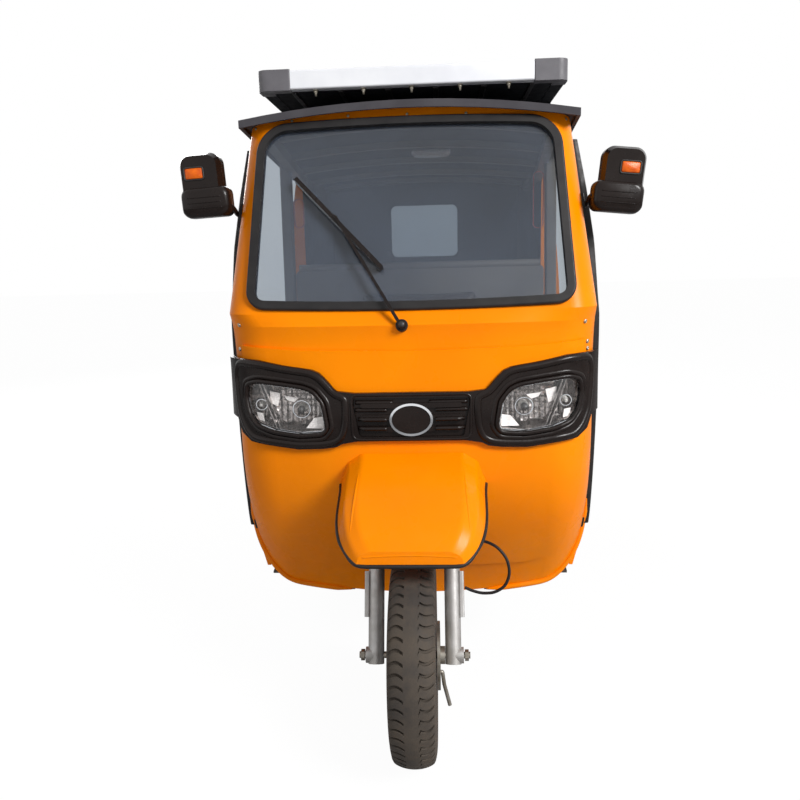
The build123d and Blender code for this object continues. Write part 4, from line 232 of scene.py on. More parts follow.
# Columns: slot, name, colour, other colour, mottle, roughness, grain, relief, fixed inputs
FINISHES = (
    ("frame_grey", "frame_enamel", (52, 54, 57), (70, 66, 62), 14.0, (0.45, 0.65), 400.0, 0.0001, {}),
    ("rack_silver", "rack_aluminium", (236, 237, 240), (222, 223, 228), 6.0, (0.3, 0.42), 700.0, 0.00003,
     {"Metallic": 0.35}),
    ("trim_black", "moulded_trim", (22, 15, 13), (28, 20, 17), 10.0, (0.2, 0.3), 1500.0, 0.00003,
     {"Specular_IOR_Level": 0.22}),
    ("roof_grey", "roof_moulding", (62, 60, 64), (72, 70, 74), 12.0, (0.6, 0.68), 1300.0, 0.00012,
     {"Specular_IOR_Level": 0.18}),
    ("cap_grey", "cap_moulding", (88, 86, 90), (98, 96, 100), 18.0, (0.4, 0.52), 1300.0, 0.00005, {}),
    ("rubber_black", "rubber_profile", (26, 24, 25), (36, 34, 34), 20.0, (0.4, 0.55), 900.0, 0.00006, DULL),
    ("rim_silver", "rim_enamel", (188, 188, 190), (160, 156, 150), 16.0, (0.32, 0.5), 600.0, 0.00004,
     {"Metallic": 0.55}),
    ("fork_metal", "cast_alloy", (182, 180, 178), (160, 157, 153), 22.0, (0.38, 0.55), 900.0, 0.00012,
     {"Metallic": 0.6}),
    ("axle_steel", "zinc_steel", (150, 146, 138), (120, 112, 100), 30.0, (0.35, 0.6), 700.0, 0.00008,
     {"Metallic": 0.8}),
    ("chrome", "chrome_plate", (235, 236, 238), (220, 222, 226), 9.0, (0.06, 0.14), 300.0, 0.00001,
     {"Metallic": 1.0}),
    ("lamp_red", "red_lens", (190, 14, 12), (150, 8, 8), 30.0, (0.1, 0.16), 220.0, 0.0002,
     {"Coat_Weight": 0.8}),
    ("mirror", "mirror_glass", (225, 230, 233), (215, 220, 225), 4.0, (0.015, 0.04), 100.0, 0.000002,
     {"Metallic": 1.0}),
    ("seat_vinyl", "seat_vinyl", (58, 46, 40), (70, 57, 49), 9.0, (0.42, 0.6), 1100.0, 0.00025, {}),
    ("inner_panel", "inner_paint", (120, 112, 103), (104, 96, 88), 6.0, (0.45, 0.62), 500.0, 0.00008, {}),
    ("battery", "battery_case", (60, 62, 66), (72, 74, 78), 14.0, (0.45, 0.6), 800.0, 0.0001, {}),
    ("deck", "rack_deck", (34, 35, 38), (44, 45, 48), 14.0, (0.62, 0.75), 700.0, 0.00006,
     {"Specular_IOR_Level": 0.12}),
    ("strap_red", "strap_webbing", (206, 58, 30), (178, 44, 24), 60.0, (0.6, 0.8), 900.0, 0.0004,
     {"Sheen_Weight": 0.3}),
    ("amber", "amber_lens", (226, 104, 10), (196, 78, 4), 60.0, (0.3, 0.42), 240.0, 0.0003,
     {"Specular_IOR_Level": 0.3}),
    ("screw", "screw_zinc", (190, 184, 170), (150, 142, 126), 200.0, (0.3, 0.5), 1500.0, 0.00004,
     {"Metallic": 0.9}),
    ("floor", "rubber_floor", (56, 54, 52), (74, 69, 62), 9.0, (0.6, 0.8), 260.0, 0.0008, {}),
    ("dark", "dark_moulding", (26, 24, 24), (36, 33, 32), 20.0, (0.4, 0.55), 1200.0, 0.00005, {}),
    ("lining", "cabin_lining", (72, 70, 72), (60, 58, 60), 7.0, (0.6, 0.75), 700.0, 0.0001, DULL),
    # The lamp reflector's dark and bright mottle is painted reflection: it stands in for the contrast of
    # reflected surroundings
    ("reflector", "lamp_reflector_painted_reflections", (112, 106, 103), (190, 182, 178), 90.0, (0.1, 0.22), 260.0, 0.0002,
     {"Metallic": 0.95}),
    # Pale finish of the gauge dial and the cabin lamp, and of the painted highlights in the headlamps
    ("facet", "pale_face_and_painted_highlight", (222, 216, 212), (206, 199, 195), 60.0, (0.2, 0.3), 300.0, 0.00005,
     {"Metallic": 0.2}),
    ("bulb", "bulb_glass", (196, 192, 186), (176, 172, 166), 200.0, (0.05, 0.1), 900.0, 0.00002, {}),
)
for slot, name, colour, other, mottle, rough, grain, relief, fixed in FINISHES:
    MATERIALS[slot] = varied(
        name, rgb(*colour), rgb(*other), mottle, rough, grain, relief, **fixed).material
TRIM = MATERIALS["trim_black"]
RUBBER = MATERIALS["rubber_black"]
CHROME = MATERIALS["chrome"]
AMBER, SCREW, FLOOR_MAT, DARK = (MATERIALS[slot] for slot in ("amber", "screw", "floor", "dark"))
# The reflector finish carries painted reflections, and the pale finish carries painted highlights in the
# lamps
LINING, REFLECTOR_PAINTED_REFLECTIONS, BRIGHT, BULB_GLASS = (
    MATERIALS[slot] for slot in ("lining", "reflector", "facet", "bulb"))

tyre_finish = varied(
    "tyre_rubber", rgb(66, 60, 55), rgb(50, 46, 43), 12.0, (0.7, 0.85), 700.0, 0.0002,
    Specular_IOR_Level=0.25)
tyre_finish.set(Base_Color=tyre_finish.mix(
    tyre_finish.span(tyre_finish.noise(9.0, 8.0, rough=0.7), 0.0, 0.8, 0.4, 0.75),
    rgb(62, 57, 53), rgb(98, 87, 75)))
MATERIALS["tyre"] = tyre_finish.material


# Blue-grey tint of a painted sky reflection on the glass
SKY_SHEEN_TINT = rgb(112, 122, 140)


def glass(name, colour, rough, waviness, sky_sheen=0.0):
    """Clear glazing that lets shadow rays through, optionally under a lit blue-grey film that paints a
    reflection of the sky.
    """
    finish = varied(name, colour, colour, 3.0, (rough, rough + 0.01), 3.0, waviness,
                    Transmission_Weight=1.0, IOR=1.45)
    tree = finish.tree
    pane = finish.shader.outputs["BSDF"]
    # Painted reflection: a diffuse blue-grey film, mixed in by noise, stands in for the sky reflected in
    # the pane
    if sky_sheen:
        film = add_node(tree, "BsdfDiffuse", {"Color": SKY_SHEEN_TINT})
        share = finish.span(finish.noise(1.6, 3.0), 0.6 * sky_sheen, 1.4 * sky_sheen)
        sky_sheen_mix = add_node(tree, "MixShader", {"Fac": share, 1: pane, 2: film.outputs["BSDF"]})
        pane = sky_sheen_mix.outputs["Shader"]
    shadow = add_node(tree, "LightPath", {}).outputs["Is Shadow Ray"]
    clear = add_node(tree, "BsdfTransparent", {"Color": colour}).outputs["BSDF"]
    blend = add_node(tree, "MixShader", {"Fac": shadow, 1: pane, 2: clear})
    feed(tree, tree.nodes["Material Output"].inputs["Surface"], blend.outputs["Shader"])
    return finish.material


MATERIALS["clear_glass"] = glass("window_glass", rgb(176, 184, 190), 0.0, 0.00001, sky_sheen=0.13)
MATERIALS["lens_clear"] = glass("lamp_lens", rgb(246, 247, 248), 0.0, 0.00002)

for node in nodes.values():
    for slot in node.material_slots:
        slot.material = MATERIALS[slot.material.name]
nodes["floor_pan"].material_slots[0].material = FLOOR_MAT

CABIN_MIDDLE = Vector((0.0, 0.95, 1.0))


# ------------------------------ mesh tools
def piece(name, verts, faces, material, body="chassis", smooth=True):
    """A mesh object in the row frame, riding on a body."""
    mesh = bpy.data.meshes.new(name)
    mesh.from_pydata([tuple(v) for v in verts], [], faces)
    mesh.validate()
    mesh.polygons.foreach_set("use_smooth", [smooth] * len(mesh.polygons))
    mesh.materials.append(material)
    obj = bpy.data.objects.new(name, mesh)
    scene.collection.objects.link(obj)
    if body:
        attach(obj, body)
    return obj


def shaded(obj, degrees):
    """Smooth shading, with edges sharp above an angle."""
    obj.data.polygons.foreach_set("use_smooth", [True] * len(obj.data.polygons))
    obj.data.set_sharp_from_angle(angle=math.radians(degrees))


def thickened(obj, thickness):
    shell = obj.modifiers.new("thickness", "SOLIDIFY")
    shell.thickness = thickness
    shell.offset = 1.0


class Heap:
    """Vertices and faces of several small solids, joined in one piece."""

    def __init__(self):
        self.verts = []
        self.faces = []

    def add(self, verts, faces):
        base = len(self.verts)
        self.verts += [Vector(v) for v in verts]
        self.faces += [tuple(base + i for i in f) for f in faces]

    def rings(self, rings, close_ends=True, close_loop=False):
        """Skins rings of points of one length into a solid; one ring alone gives nothing."""
        if len(rings) < 2:
            return
        count = len(rings[0])
        verts = [p for ring in rings for p in ring]
        faces = []
        last = len(rings) if close_loop else len(rings) - 1
        for r in range(last):
            a, b = r * count, (r + 1) % len(rings) * count
            faces += [(a + i, a + (i + 1) % count, b + (i + 1) % count, b + i) for i in range(count)]
        if close_ends and not close_loop:
            faces.append(tuple(range(count))[::-1])
            faces.append(tuple((len(rings) - 1) * count + i for i in range(count)))
        self.add(verts, faces)

    def make(self, name, material, body="chassis", smooth=True):
        """The piece, or None where nothing was added."""
        return piece(name, self.verts, self.faces, material, body, smooth) if self.verts else None


def axes_of(normal):
    """Two unit vectors square to normal and to each other."""
    n = Vector(normal).normalized()
    side = n.cross(Vector((0, 0, 1)))
    if side.length < 0.1:
        side = n.cross(Vector((1, 0, 0)))
    side.normalize()
    return side, side.cross(n)


def circle(centre, normal, radius, count=16, phase=0.0):
    a, b = axes_of(normal)
    step = 2 * math.pi / count
    return [
        Vector(centre) + radius * (a * math.cos(phase + i * step) + b * math.sin(phase + i * step))
        for i in range(count)
    ]


def lathe(heap, centre, normal, profile, count=20, phase=0.0):
    """Turned solid: profile rows are (radius, height along normal)."""
    n = Vector(normal).normalized()
    heap.rings([circle(Vector(centre) + n * h, n, r, count, phase) for r, h in profile])


def hex_bolt(heap, point, normal, across, height):
    """Hexagon head on a washer."""
    r = across / 1.732
    lathe(heap, point, normal, [(r * 1.35, -0.002), (r * 1.35, height * 0.18), (r * 1.3, height * 0.22)])
    lathe(heap, point, normal, [
        (r, height * 0.1), (r, height * 0.9), (r * 0.86, height)], count=6)


def pan_screw(heap, point, normal, radius, height):
    """Domed screw head with a recess."""
    lathe(heap, point, normal, [
        (radius, -0.002), (radius, height * 0.35), (radius * 0.85, height * 0.8), (radius * 0.55, height),
        (radius * 0.3, height), (radius * 0.22, height * 0.5)], count=18)


def tube(heap, path, radius, count=10, loop=False):
    """Round tube along a list of points."""
    rings = []
    points = [Vector(p) for p in path]
    total = len(points)
    up = None
    for i, p in enumerate(points):
        before = points[i - 1] if i or loop else p
        after = points[(i + 1) % total] if i < total - 1 or loop else p
        along = (after - before).normalized()
        if up is None:
            up, _ = axes_of(along)
        up = (up - along * up.dot(along)).normalized()
        side = along.cross(up)
        r = radius[i] if isinstance(radius, (list, tuple)) else radius
        rings.append([
            p + r * (up * math.cos(k * 2 * math.pi / count) + side * math.sin(k * 2 * math.pi / count))
            for k in range(count)])
    heap.rings(rings, close_loop=loop)


def spaced(points, step, loop=False):
    """Points resampled evenly along a polyline."""
    pts = [Vector(p) for p in points]
    if len(pts) < 2:
        return pts
    if loop:
        pts.append(pts[0])
    result = []
    carry = 0.0
    for a, b in zip(pts, pts[1:]):
        run = (b - a).length
        at = carry
        while at < run:
            result.append(a.lerp(b, at / run))
            at += step
        carry = at - run
    if not loop:
        result.append(pts[-1])
    return result


def smooth_path(points, step, loop=False, rounds=3):
    """Evenly spaced points with rounded corners."""
    pts = spaced(points, step, loop)
    for _ in range(rounds):
        nxt = []
        for i, p in enumerate(pts):
            if not loop and i in (0, len(pts) - 1):
                nxt.append(p)
            else:
                nxt.append((pts[i - 1] + p * 2 + pts[(i + 1) % len(pts)]) / 4)
        pts = nxt
    return pts


# ------------------------------ tyres
TYRE_R = 0.268
LUGS = 62
GROOVE_DEPTH = 0.007
GROOVE_RAMP = 0.004
GROOVE_FOOT_R = 0.2395
SHOULDER_W = 0.036
# Half of the section, from the bead to the middle of the tread. Columns: x and radius
TYRE_SECTION = [
    (0.042, 0.157), (0.042, 0.169), (0.0475, 0.1745), (0.0525, 0.184), (0.0562, 0.196), (0.0578, 0.208),
    (0.0578, 0.219), (0.0568, 0.230), (0.0549, 0.2405), (0.0525, 0.249), (0.049, 0.2545),
    (0.0445, 0.2578), (0.039, 0.2605), (0.033, 0.2628), (0.027, 0.2646), (0.021, 0.266), (0.0165, 0.2668),
    (0.012, 0.2673), (0.006, 0.2678), (0.0, 0.268),
]
GROOVE_START = 0.0165
ARC_DEPTH = 0.0085


def tyre_piece(name, node, centre_x, centre_y, body):
    """Tyre with curved shoulder grooves and a plain centre band."""
    section = TYRE_SECTION + [(-x, r) for x, r in reversed(TYRE_SECTION[:-1])]
    pitch = 2 * math.pi / LUGS
    # Columns: share of the pitch, groove depth share
    around = ((0.0, 0.0), (0.32, 0.0), (0.66, 0.0), (0.7, 1.0), (0.93, 1.0), (0.97, 0.0))
    verts = []
    for lug in range(LUGS):
        for share, cut in around:
            for x, r in section:
                shoulder = max(0.0, abs(x) - GROOVE_START)
                in_groove = abs(x) >= GROOVE_START + 0.0004 and r > GROOVE_FOOT_R
                curve = math.sin(min(1.0, shoulder / SHOULDER_W) * math.pi) * ARC_DEPTH
                slant = (0.5 if x > 0 else 0.0) * pitch
                skew = (curve if x < 0 else -curve) / TYRE_R
                reach = min(1.0, shoulder / GROOVE_RAMP)
                turn = lug * pitch + share * pitch + slant * reach + skew
                radius = r - (GROOVE_DEPTH * cut * reach if in_groove else 0.0)
                verts.append((
                    centre_x + x, centre_y + radius * math.sin(turn), TYRE_R + radius * math.cos(turn)))
    rows = LUGS * len(around)
    width = len(section)
    faces = []
    for i in range(rows):
        j = (i + 1) % rows
        for k in range(width - 1):
            faces.append((i * width + k, i * width + k + 1, j * width + k + 1, j * width + k))
        faces.append((i * width + width - 1, i * width, j * width, j * width + width - 1))
    tyre = piece(name, verts, faces, MATERIALS["tyre"], body, smooth=False)
    shaded(tyre, 32)
    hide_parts(node)


FRONT_Y = -1.052
REAR_Y = 0.948
REAR_X = 0.54
WHEELS = (
    ("front", "front_tyre", "front_wheel", 0.0, FRONT_Y),
    ("rear_left", "rear_tyre_left", "rear_wheel_left", REAR_X, REAR_Y),
    ("rear_right", "rear_tyre_right", "rear_wheel_right", -REAR_X, REAR_Y),
)
for label, node, body, x, y in WHEELS:
    low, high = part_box(node)
    tyre_piece(label + "_tyre_tread", node, (low.x + high.x) / 2, y, body)


# ------------------------------ seats
def rounded_box(low, high, edge, name):
    """Block with rounded edges, as a mesh object in the row frame."""
    bm = bmesh.new()
    bmesh.ops.create_cube(bm, size=1.0)
    size = Vector(high) - Vector(low)
    centre = (Vector(high) + Vector(low)) / 2
    for v in bm.verts:
        v.co = Vector(v.co[i] * size[i] + centre[i] for i in range(3))
    bmesh.ops.bevel(bm, geom=bm.edges[:], offset=edge, segments=4, affect="EDGES", profile=0.5)
    mesh = bpy.data.meshes.new(name)
    bm.to_mesh(mesh)
    bm.free()
    obj = bpy.data.objects.new(name, mesh)
    scene.collection.objects.link(obj)
    return obj


def evaluated_mesh(obj):
    return bpy.data.meshes.new_from_object(obj.evaluated_get(bpy.context.evaluated_depsgraph_get()))


CLOTH_FRAMES = 20
PRESSURE = 4.0
BULGE = 0.006


def cushion(name, node, inset, edge, voxel, channels, base_axis, cap):
    """Padded piece: remeshed, swollen by a cloth simulation, capped, subdivided, then sewn."""
    low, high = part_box(node)
    box_low, box_high = low.copy(), high.copy()
    low = low + Vector(inset[0])
    high = high - Vector(inset[1])
    obj = rounded_box(low, high, edge, name)
    remesh = obj.modifiers.new("remesh", "REMESH")
    remesh.mode = "VOXEL"
    remesh.voxel_size = voxel
    mesh = evaluated_mesh(obj)
    obj.modifiers.clear()
    obj.data = mesh
    rest = [v.co.copy() for v in obj.data.vertices]
    cloth = obj.modifiers.new("cloth", "CLOTH")
    cloth.settings.quality = 5
    cloth.settings.use_pressure = True
    cloth.settings.uniform_pressure_force = PRESSURE
    cloth.settings.effector_weights.gravity = 0.0
    cloth.point_cache.frame_start = 1
    cloth.point_cache.frame_end = CLOTH_FRAMES
    for step in range(1, CLOTH_FRAMES + 1):
        scene.frame_set(step)
    moved = evaluated_mesh(obj)
    obj.modifiers.clear()
    for vertex, start, end in zip(obj.data.vertices, rest, moved.vertices):
        shift = end.co - start
        if shift.length > cap:
            shift = shift.normalized() * cap
        vertex.co = start + shift
    scene.frame_set(1)
    subdivide = obj.modifiers.new("subdivide", "SUBSURF")
    subdivide.levels = 1
    subdivide.render_levels = 1
    final = evaluated_mesh(obj)
    obj.modifiers.clear()
    obj.data = final
    for vertex in final.vertices:
        co = vertex.co
        for axis, at, width, depth, direction, side in channels:
            d = Vector(direction)
            if (co - (box_low + box_high) / 2).dot(d) > side:
                co -= d * depth * math.exp(-((co[axis] - at) / width) ** 2)
        for k in range(3):
            most = box_high[k] + (0.0 if base_axis == (k, 1) else BULGE)
            least = box_low[k] - (0.0 if base_axis == (k, -1) else BULGE)
            co[k] = max(least, min(most, co[k]))
    final.polygons.foreach_set("use_smooth", [True] * len(final.polygons))
    final.materials.clear()
    final.materials.append(MATERIALS["seat_vinyl"])
    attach(obj, "chassis")
    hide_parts(node)


UP = (0.0, 0.0, 1.0)
FORE = (0.0, -1.0, 0.0)
bench_rows = [(0, -0.36 + 0.18 * i, 0.006, 0.007, UP, 0.0) for i in range(5)]
back_rows = [(0, -0.36 + 0.18 * i, 0.006, 0.007, FORE, 0.0) for i in range(5)]
# Columns: name, node, inset at both corners, edge, voxel, channels, base axis and its side, cap
CUSHIONS = (
    ("bench_seat_pad", "bench_cushion", ((0.012, 0.012, 0.002), (0.012, 0.012, 0.018)), 0.03, 0.011,
     bench_rows, (2, -1), 0.022),
    ("bench_back_pad", "bench_back", ((0.012, 0.016, 0.012), (0.012, 0.002, 0.012)), 0.03, 0.011,
     back_rows, (1, 1), 0.022),
    ("driver_seat_pad", "driver_cushion", ((0.010, 0.010, 0.002), (0.010, 0.010, 0.016)), 0.026, 0.008,
     [(0, x, 0.006, 0.006, UP, 0.0) for x in (-0.075, 0.075)], (2, -1), 0.02),
    ("driver_back_pad", "driver_back", ((0.010, 0.012, 0.010), (0.010, 0.002, 0.010)), 0.02, 0.008,
     [(2, z, 0.006, 0.005, FORE, 0.0) for z in (0.86, 1.04)], (1, 1), 0.018),
)
for row in CUSHIONS:
    cushion(*row)


# ------------------------------ lining of the cabin
LINING_T = 0.0016
LINING_GAP = 0.0006
FACING = 0.25


def lining_of(node):
    """Trim skin over the faces of a node that look into the cabin."""
    source = nodes[node].data
    index = {}
    verts, faces, lifts = [], [], []
    for polygon in source.polygons:
        to_middle = CABIN_MIDDLE - polygon.center
        if polygon.normal.dot(to_middle) <= FACING * to_middle.length:
            continue
        face = []
        for k in polygon.vertices:
            co = source.vertices[k].co
            key = tuple(round(c, 5) for c in co)
            if key not in index:
                index[key] = len(verts)
                verts.append(co.copy())
                lifts.append(Vector())
            lifts[index[key]] += polygon.normal
            face.append(index[key])
        if len(set(face)) == len(face):
            faces.append(tuple(face))
    verts = [v + lift.normalized() * LINING_GAP for v, lift in zip(verts, lifts)]
    obj = piece("lining_" + node, verts, faces, LINING, smooth=False)
    shaded(obj, 35)
    thickened(obj, LINING_T)


for node in ("rear_quarters", "rear_panel"):
    lining_of(node)


# ------------------------------ screws
def many_seen(heap, node, pixels, maker, *sizes):
    """Puts a small fitting on a node at each point of the picture."""
    for u, v in pixels:
        hit = seen_on(node, u, v)
        if hit:
            maker(heap, hit[0], hit[1], *sizes)


SCREEN_SCREWS = [(256, 129), (292, 121), (348, 116), (407, 114), (466, 113), (525, 115), (566, 119)]
COWL_SCREWS = [(240.5, 343), (240.5, 349), (587, 341), (587, 348)]
screws = Heap()
many_seen(screws, "screen_frame", SCREEN_SCREWS, pan_screw, 0.0042, 0.0025)
many_seen(screws, "screen_frame", [(239.5, 325), (585, 321)], pan_screw, 0.006, 0.004)
many_seen(screws, "front_cowl", COWL_SCREWS, pan_screw, 0.006, 0.004)
screws.make("body_screws", SCREW)

# ------------------------------ lamps
# One side's lamp outline in the front view: x, z
LENS_OUTLINE = (
    (0.228, 0.850), (0.239, 0.915), (0.264, 0.945), (0.289, 0.954), (0.340, 0.961), (0.416, 0.970),
    (0.444, 0.962), (0.447, 0.927), (0.438, 0.884), (0.418, 0.858), (0.371, 0.842), (0.300, 0.833),
    (0.236, 0.838),
)
LAMP_BACK = -0.764
LENS_FACE = -0.90
LENS_X = (0.226, 0.449)
LENS_Z = (0.831, 0.972)
LENS_MIDDLE = (0.335, 0.9)
LENS_RIM = 0.0035
LENS_T = 0.0045


def nearest_edge(x, z, outline):
    """Distance to the outline, positive inside, and the nearest point on it."""
    best, at, inside = 1e9, (x, z), False
    for (x0, z0), (x1, z1) in zip(outline, outline[1:] + outline[:1]):
        dx, dz = x1 - x0, z1 - z0
        t = max(0.0, min(1.0, ((x - x0) * dx + (z - z0) * dz) / (dx * dx + dz * dz)))
        px, pz = x0 + t * dx, z0 + t * dz
        d = math.hypot(x - px, z - pz)
        if d < best:
            best, at = d, (px, pz)
        if (z0 > z) != (z1 > z) and x < x0 + (z - z0) / (z1 - z0) * dx:
            inside = not inside
    return (best if inside else -best), at


def lens_y(x, z):
    """Outer face of the lamp lens at a place of the front view."""
    hit = from_ahead("headlamp_lenses", x, z)
    return hit[0].y if hit else LENS_FACE


BULB_X, BULB_Z = 0.300, 0.893
DIVIDER_TOP = (0.402, 0.968)
DIVIDER_FOOT = (0.352, 0.840)
WALL_SECTION = ((-0.0012, LENS_T), (0.0012, LENS_T), (0.0012, 0.034), (-0.0012, 0.034))
TURN_X, TURN_Z = 0.412, 0.905
# Dishes of the reflector. Columns: centre x and z, depth, spread
DISHES = ((BULB_X, BULB_Z, 0.062, 0.17), (TURN_X, TURN_Z, 0.046, 0.10))
DISH_FLOOR = 0.012
RIM_RAMP = 0.010
# Depth and pitch of the flutes
FLUTE_X = (0.0035, 0.0145)
FLUTE_Z = (0.0022, 0.017)
COLUMNS = 46
ROWS = 26


def reflector(side, label):
    """Faceted reflector behind a lens: a dish round each bulb, fluted, closed at the lens's edge."""
    verts, inside = [], []
    for i in range(COLUMNS + 1):
        for j in range(ROWS + 1):
            x = LENS_X[0] + (LENS_X[1] - LENS_X[0]) * i / COLUMNS
            z = LENS_Z[0] + (LENS_Z[1] - LENS_Z[0]) * j / ROWS
            gap, at = nearest_edge(x, z, LENS_OUTLINE)
            lies = gap > LENS_RIM
            if not lies:
                to_middle = (LENS_MIDDLE[0] - at[0], LENS_MIDDLE[1] - at[1])
                pull = LENS_RIM / math.hypot(*to_middle)
                x, z = at[0] + to_middle[0] * pull, at[1] + to_middle[1] * pull
            dishes = [
                deep - ((x - centre_x) ** 2 + (z - centre_z) ** 2) / spread
                for centre_x, centre_z, deep, spread in DISHES]
            depth = max(*dishes, DISH_FLOOR)
            depth += FLUTE_X[0] * abs(math.sin(x * math.pi / FLUTE_X[1]))
            depth += FLUTE_Z[0] * abs(math.sin(z * math.pi / FLUTE_Z[1]))
            depth *= min(1.0, max(0.0, gap - LENS_RIM) / RIM_RAMP)
            verts.append((side * x, min(lens_y(side * x, z) + LENS_T + depth, LAMP_BACK), z))
            inside.append(lies)
    faces = []
    width = ROWS + 1
    for i in range(COLUMNS):
        for j in range(ROWS):
            quad = (i * width + j, i * width + j + 1, (i + 1) * width + j + 1, (i + 1) * width + j)
            if any(inside[k] for k in quad):
                faces.append(quad if side < 0 else quad[::-1])
    # Its finish paints reflections with a dark and bright mottle
    obj = piece("lamp_reflector_painted_reflections_" + label, verts, faces, REFLECTOR_PAINTED_REFLECTIONS, smooth=False)
    thickened(obj, 0.0012)


for side, label in ((-1, "right"), (1, "left")):
    reflector(side, label)
    bulb = Heap()
    for x, z, size in ((BULB_X, BULB_Z, 1.0), (TURN_X, TURN_Z, 0.6)):
        length = LAMP_BACK - min(lens_y(side * x, z) + 0.014, LAMP_BACK - 0.03)
        lathe(bulb, (side * x, LAMP_BACK, z), (0, -1, 0), [
            (0.013 * size, 0.0), (0.013 * size, length - 0.034 * size),
            (0.0075 * size, length - 0.03 * size), (0.0075 * size, length - 0.004 * size),
            (0.004 * size, length)])
    bulb.make("lamp_bulbs_" + label, BULB_GLASS)
    caps = Heap()
    face = lens_y(side * BULB_X, BULB_Z)
    lathe(caps, (side * BULB_X, face + 0.0235, BULB_Z), (0, -1, 0), [
        (0.0098, -0.014), (0.0102, 0.004), (0.008, 0.0088), (0.003, 0.0108)])
    caps.make("lamp_bulb_cap_" + label, DARK)
    rings = Heap()
    ring_at = Vector((side * BULB_X, face + 0.034, BULB_Z))
    tube(rings, circle(ring_at, (0, -1, 0), 0.0235, 36), 0.0022, 8, loop=True)
    ring_at = Vector((side * TURN_X, lens_y(side * TURN_X, TURN_Z) + 0.024, TURN_Z))
    tube(rings, circle(ring_at, (0, -1, 0), 0.015, 28), 0.0016, 8, loop=True)
    rings.make("lamp_rings_" + label, CHROME)
    wall = Heap()
    for shift in (0.0, 0.0105):
        ring = []
        for t in (0.02, 0.25, 0.5, 0.75, 0.98):
            x = DIVIDER_TOP[0] + (DIVIDER_FOOT[0] - DIVIDER_TOP[0]) * t + shift
            z = DIVIDER_TOP[1] + (DIVIDER_FOOT[1] - DIVIDER_TOP[1]) * t
            if not from_ahead("headlamp_lenses", side * x, z):
                continue
            y = lens_y(side * x, z)
            ring.append([
                Vector((side * (x + across), y + back, z))
                for across, back in WALL_SECTION])
        wall.rings(ring)
    wall.make("lamp_divider_" + label, REFLECTOR_PAINTED_REFLECTIONS, smooth=False)
    # Painted highlights: pale plates behind the lens where the reflector shows bright spots, as corners x,
    # z and depth behind the lens
    painted_highlights = Heap()
    for corners, back in (
        (((0.236, 0.846), (0.285, 0.846), (0.262, 0.874), (0.238, 0.878)), 0.012),
        (((0.356, 0.938), (0.386, 0.944), (0.383, 0.912), (0.364, 0.902)), 0.020),
        (((0.305, 0.926), (0.344, 0.930), (0.338, 0.920), (0.318, 0.914)), 0.022),
        (((0.405, 0.884), (0.424, 0.886), (0.420, 0.866), (0.402, 0.862)), 0.012),
    ):
        plate = [Vector((side * x, lens_y(side * x, z) + back, z)) for x, z in corners]
        painted_highlights.rings([plate, [p + Vector((0, 0.002, 0)) for p in plate]])
    painted_highlights.make("lamp_painted_highlights_" + label, BRIGHT, smooth=False)

# ------------------------------ mask and grille beads


def lifted(node, places, lift, y=AHEAD):
    """Points of a node at places of the front view, moved off it along its normal."""
    hits = [from_ahead(node, x, z, y) for x, z in places]
    return [hit[0] + hit[1] * lift for hit in hits if hit]


def front_path(points, side, node, lift, step=0.008, loop=False):
    """Points on a node under a line of the front view, lifted off it."""
    flat = smooth_path([(x * side, 0.0, z) for x, z in points], step, loop)
    return lifted(node, [(p.x, p.z) for p in flat], lift)


def grown(outline, amount):
    """Closed outline moved outwards by amount."""
    result = []
    count = len(outline)
    for i, (x, z) in enumerate(outline):
        x0, z0 = outline[i - 1]
        x1, z1 = outline[(i + 1) % count]
        tangent = Vector((x1 - x0, z1 - z0)).normalized()
        out = Vector((-tangent.y, tangent.x))
        result.append((x + out.x * amount, z + out.y * amount))
    return tuple(result)


POD_OUTLINE = (
    (0.176, 0.930), (0.206, 0.940), (0.228, 0.966), (0.250, 0.988), (0.272, 0.996), (0.340, 1.005),
    (0.415, 1.019), (0.476, 1.022), (0.486, 0.990), (0.482, 0.930), (0.476, 0.880), (0.458, 0.840),
    (0.436, 0.818), (0.380, 0.811), (0.306, 0.803), (0.240, 0.806), (0.208, 0.811), (0.188, 0.822),
    (0.178, 0.850), (0.174, 0.890),
)
GRILLE_OUTLINE = (
    (-0.150, 0.938), (0.150, 0.938), (0.158, 0.930), (0.156, 0.826), (0.148, 0.820), (-0.148, 0.820),
    (-0.156, 0.826), (-0.158, 0.930),
)
# Columns: outline, side, lift, step, radius, count
MASK_BEADS = [
    row for side in (-1, 1) for row in (
        (grown(LENS_OUTLINE, 0.0046), side, 0.0012, 0.006, 0.0064, 10),
        (grown(LENS_OUTLINE, 0.0175), side, -0.0052, 0.007, 0.0085, 12),
        (POD_OUTLINE, side, -0.0062, 0.008, 0.0115, 14))
] + [(GRILLE_OUTLINE, 1, -0.0012, 0.006, 0.0042, 10)]
beads = Heap()
for outline, side, lift, step, radius, count in MASK_BEADS:
    tube(beads, front_path(outline, side, "front_mask", lift, step, loop=True), radius, count, loop=True)
beads.make("mask_beads", TRIM)

# Louvres of the grille, left and right of the ring
LOUVRE_SECTION = (
    (0.004, -0.005), (-0.0035, -0.0062), (-0.0062, -0.003), (-0.0058, 0.001), (-0.001, 0.0045),
    (0.004, 0.005))
louvres = Heap()
for side in (-1, 1):
    for z in (0.851, 0.875, 0.899, 0.919):
        inner = 0.064 if abs(z - 0.873) < 0.03 else 0.048
        rings = []
        for i in range(13):
            x = inner + (0.148 - inner) * i / 12
            hit = from_ahead("grille", side * x, z)
            if hit:
                y = hit[0].y - 0.001
                rings.append([Vector((side * x, y + back, z + up)) for back, up in LOUVRE_SECTION])
        louvres.rings(rings)
louvres.make("grille_louvres", TRIM)

